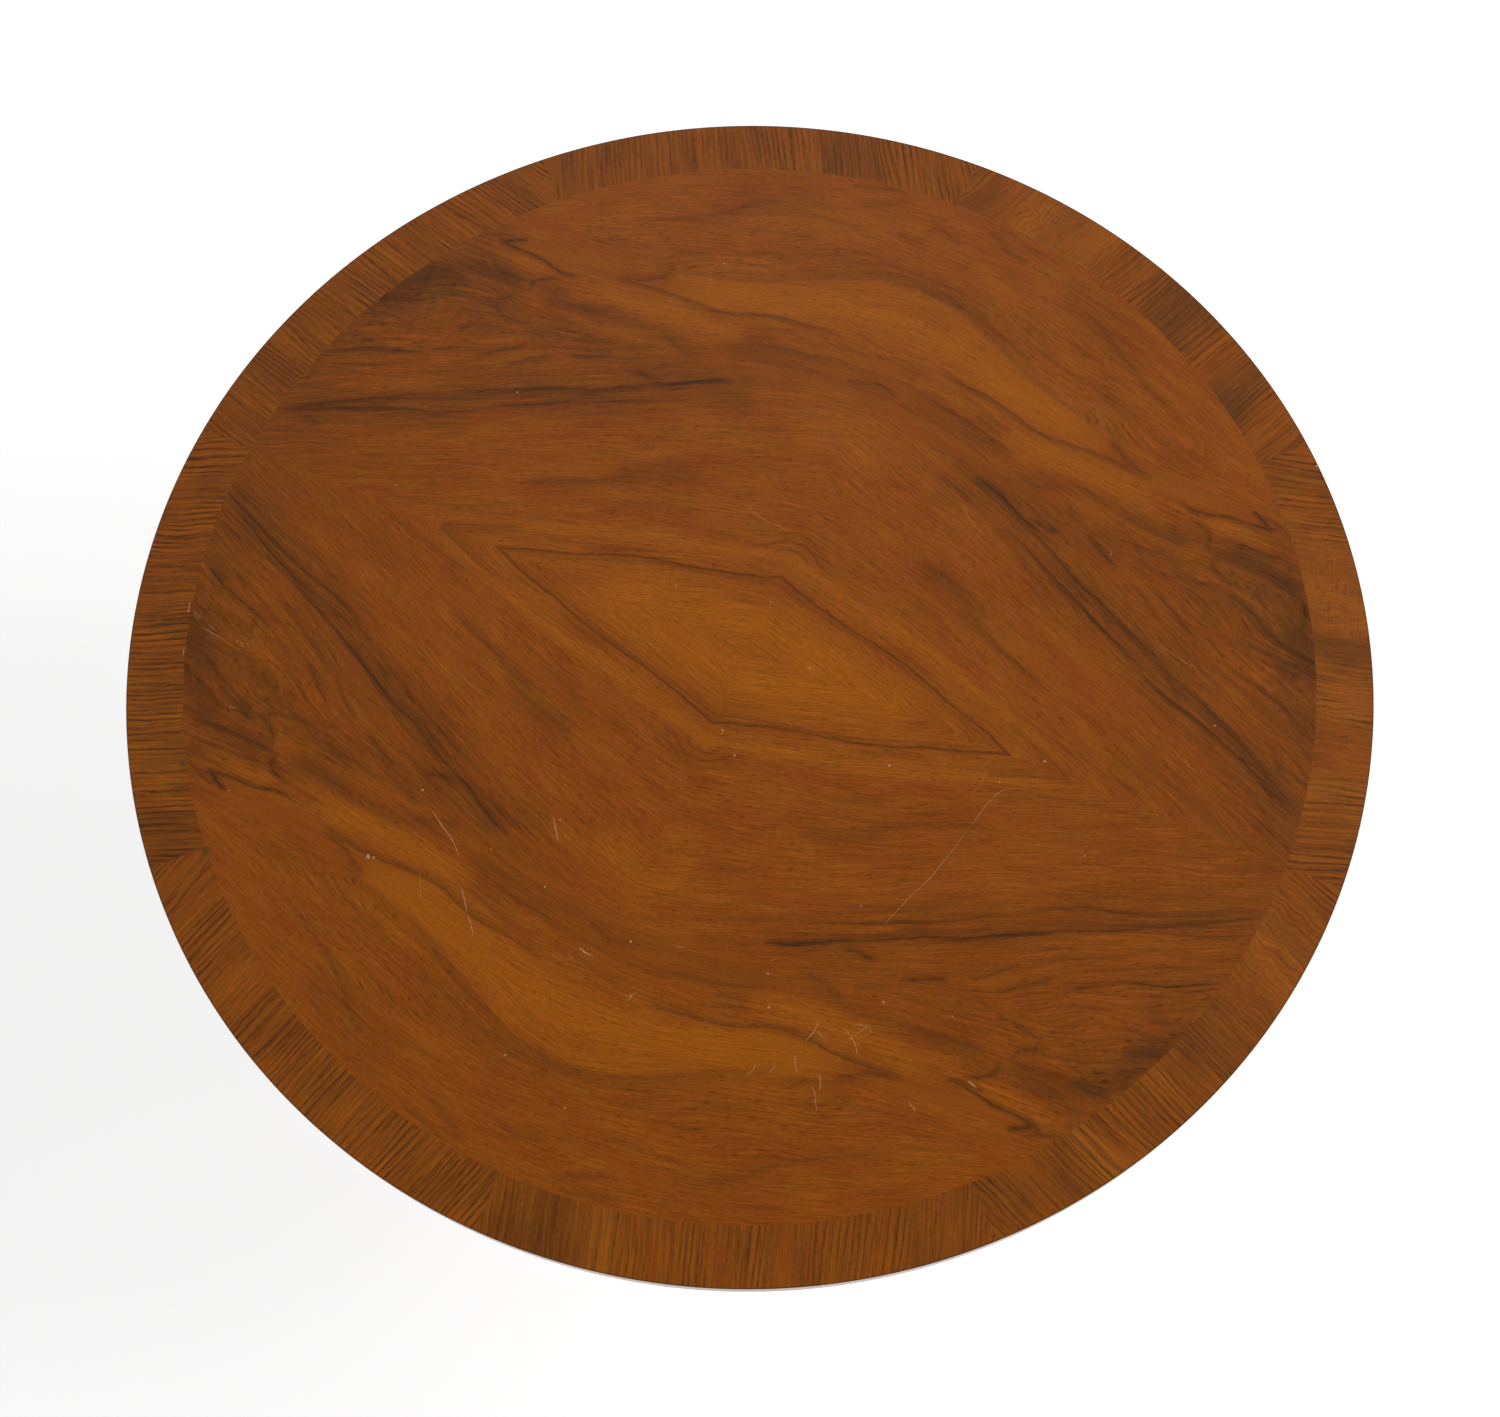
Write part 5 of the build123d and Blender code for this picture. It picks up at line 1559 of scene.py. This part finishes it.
WOODS = {}
for seed, (node, name, along, pith, light, dark, *rest) in enumerate(WOOD_ROWS, 1):
    WOODS[node] = solid_wood(name, along, pith, colour(*light), colour(*dark), *rest, seed=seed)

for subpart in frame["record"]["subparts"]:
    node = subpart["node"]
    finish = WOODS.get(node) or METALS.get(subpart["material_slot"])
    if finish is None:
        print(node, "is dressed by a piece of its own")
        continue
    for place in frame["nodes"][node].material_slots:
        place.material = finish

# %% [markdown]
# ## The floor and the light
# The floor is a plain pale sheet. It looks almost white, because a little light of its own is
# added for the rays that come from the camera or by way of a mirror or glass. It lights nothing
# else, and the table's soft shadow still falls on it.

# %% Floor
FLOOR_REACH = 40.0  # metres from its middle to each side
FLOOR_GREY = 0.80
GLOW_NEAR, GLOW_FAR = (1.2, 0.40), (5.0, 1.0)  # metres from the middle, and how much it glows there


def floor_finish():
    """A pale matt floor that looks nearly white and keeps shadows."""
    material, shader = new_finish("floor", 0.9)
    tree = material.node_tree
    shader.inputs["Base Color"].default_value = (FLOOR_GREY, FLOOR_GREY, FLOOR_GREY, 1)
    shader.inputs["Specular IOR Level"].default_value = 0.0
    rays = tree.nodes.new("ShaderNodeLightPath")
    seen = calc(tree, "MAXIMUM", rays.outputs["Is Camera Ray"], rays.outputs["Is Glossy Ray"])
    seen = calc(tree, "MAXIMUM", seen, rays.outputs["Is Transmission Ray"])
    glow = tree.nodes.new("ShaderNodeEmission")
    x, y, _ = parts_of(tree, place_in_space(tree))
    fade = remap(tree, length_of(tree, x, y), GLOW_NEAR[0], GLOW_FAR[0], GLOW_NEAR[1], GLOW_FAR[1])
    tree.links.new(times(tree, seen, fade), glow.inputs["Strength"])
    both = tree.nodes.new("ShaderNodeAddShader")
    tree.links.new(shader.outputs[0], both.inputs[0])
    tree.links.new(glow.outputs[0], both.inputs[1])
    output = tree.nodes["Material Output"]
    tree.links.new(both.outputs[0], output.inputs["Surface"])
    return material


corners = [(x * FLOOR_REACH, y * FLOOR_REACH, 0) for x, y in ((-1, -1), (1, -1), (1, 1), (-1, 1))]
floor_mesh = bpy.data.meshes.new("floor")
floor_mesh.from_pydata(corners, [], [(0, 1, 2, 3)])
floor_mesh.materials.append(floor_finish())
floor = bpy.data.objects.new("floor", floor_mesh)
bpy.context.scene.collection.objects.link(floor)

# %% [markdown]
# Varnish mirrors whatever is above it. So that the top keeps its deep colour, the sky of this
# studio is dim overhead and bright all round, and most light comes from large panels at the
# sides. Camera rays see plain white.


# %% World and lamps
SKY_LOW, SKY_HIGH = (0.50, 0.95), (0.98, 0.0)  # how high a direction points, and how bright it is
# Each row: name, place, what it faces, side in metres, and watts.
PANELS = [
    ("left_panel", (-4.2, -1.6, 4.0), (0, 0, 0.6), 2.6, 30),
    ("right_panel", (4.2, 2.4, 3.8), (0, 0, 0.5), 3.0, 188),
    ("far_panel", (-1.4, 3.1, 4.8), (0, 0, 0.6), 2.0, 15),
]


def studio_world():
    """White for the camera; for light, dim overhead and bright towards the horizon."""
    world = bpy.data.worlds.new("studio")
    world.use_nodes = True
    tree = world.node_tree
    background = tree.nodes["Background"]
    direction = tree.nodes.new("ShaderNodeTexCoord").outputs["Generated"]
    height = part_of(tree, direction, "Z")
    glow = remap(tree, height, SKY_LOW[0], SKY_HIGH[0], SKY_LOW[1], SKY_HIGH[1])
    seen = tree.nodes.new("ShaderNodeLightPath").outputs["Is Camera Ray"]
    unseen = calc(tree, "SUBTRACT", 1.0, seen)
    strength = calc(tree, "ADD", times(tree, glow, unseen), seen)
    tree.links.new(strength, background.inputs["Strength"])
    background.inputs["Color"].default_value = (1, 1, 1, 1)
    bpy.context.scene.world = world


def panel(name, place, aim, size, watts):
    """A square soft lamp at `place` that faces `aim`."""
    data = bpy.data.lights.new(name, "AREA")
    data.shape = "SQUARE"
    data.size = size
    data.energy = watts
    lamp = bpy.data.objects.new(name, data)
    facing = (Vector(aim) - Vector(place)).to_track_quat("-Z", "Y").to_matrix().to_4x4()
    lamp.matrix_world = Matrix.Translation(place) @ facing
    bpy.context.scene.collection.objects.link(lamp)


studio_world()
for row in PANELS:
    panel(*row)
bpy.context.scene.view_settings.view_transform = "Standard"
print("lamps", [name for name, *_ in PANELS])
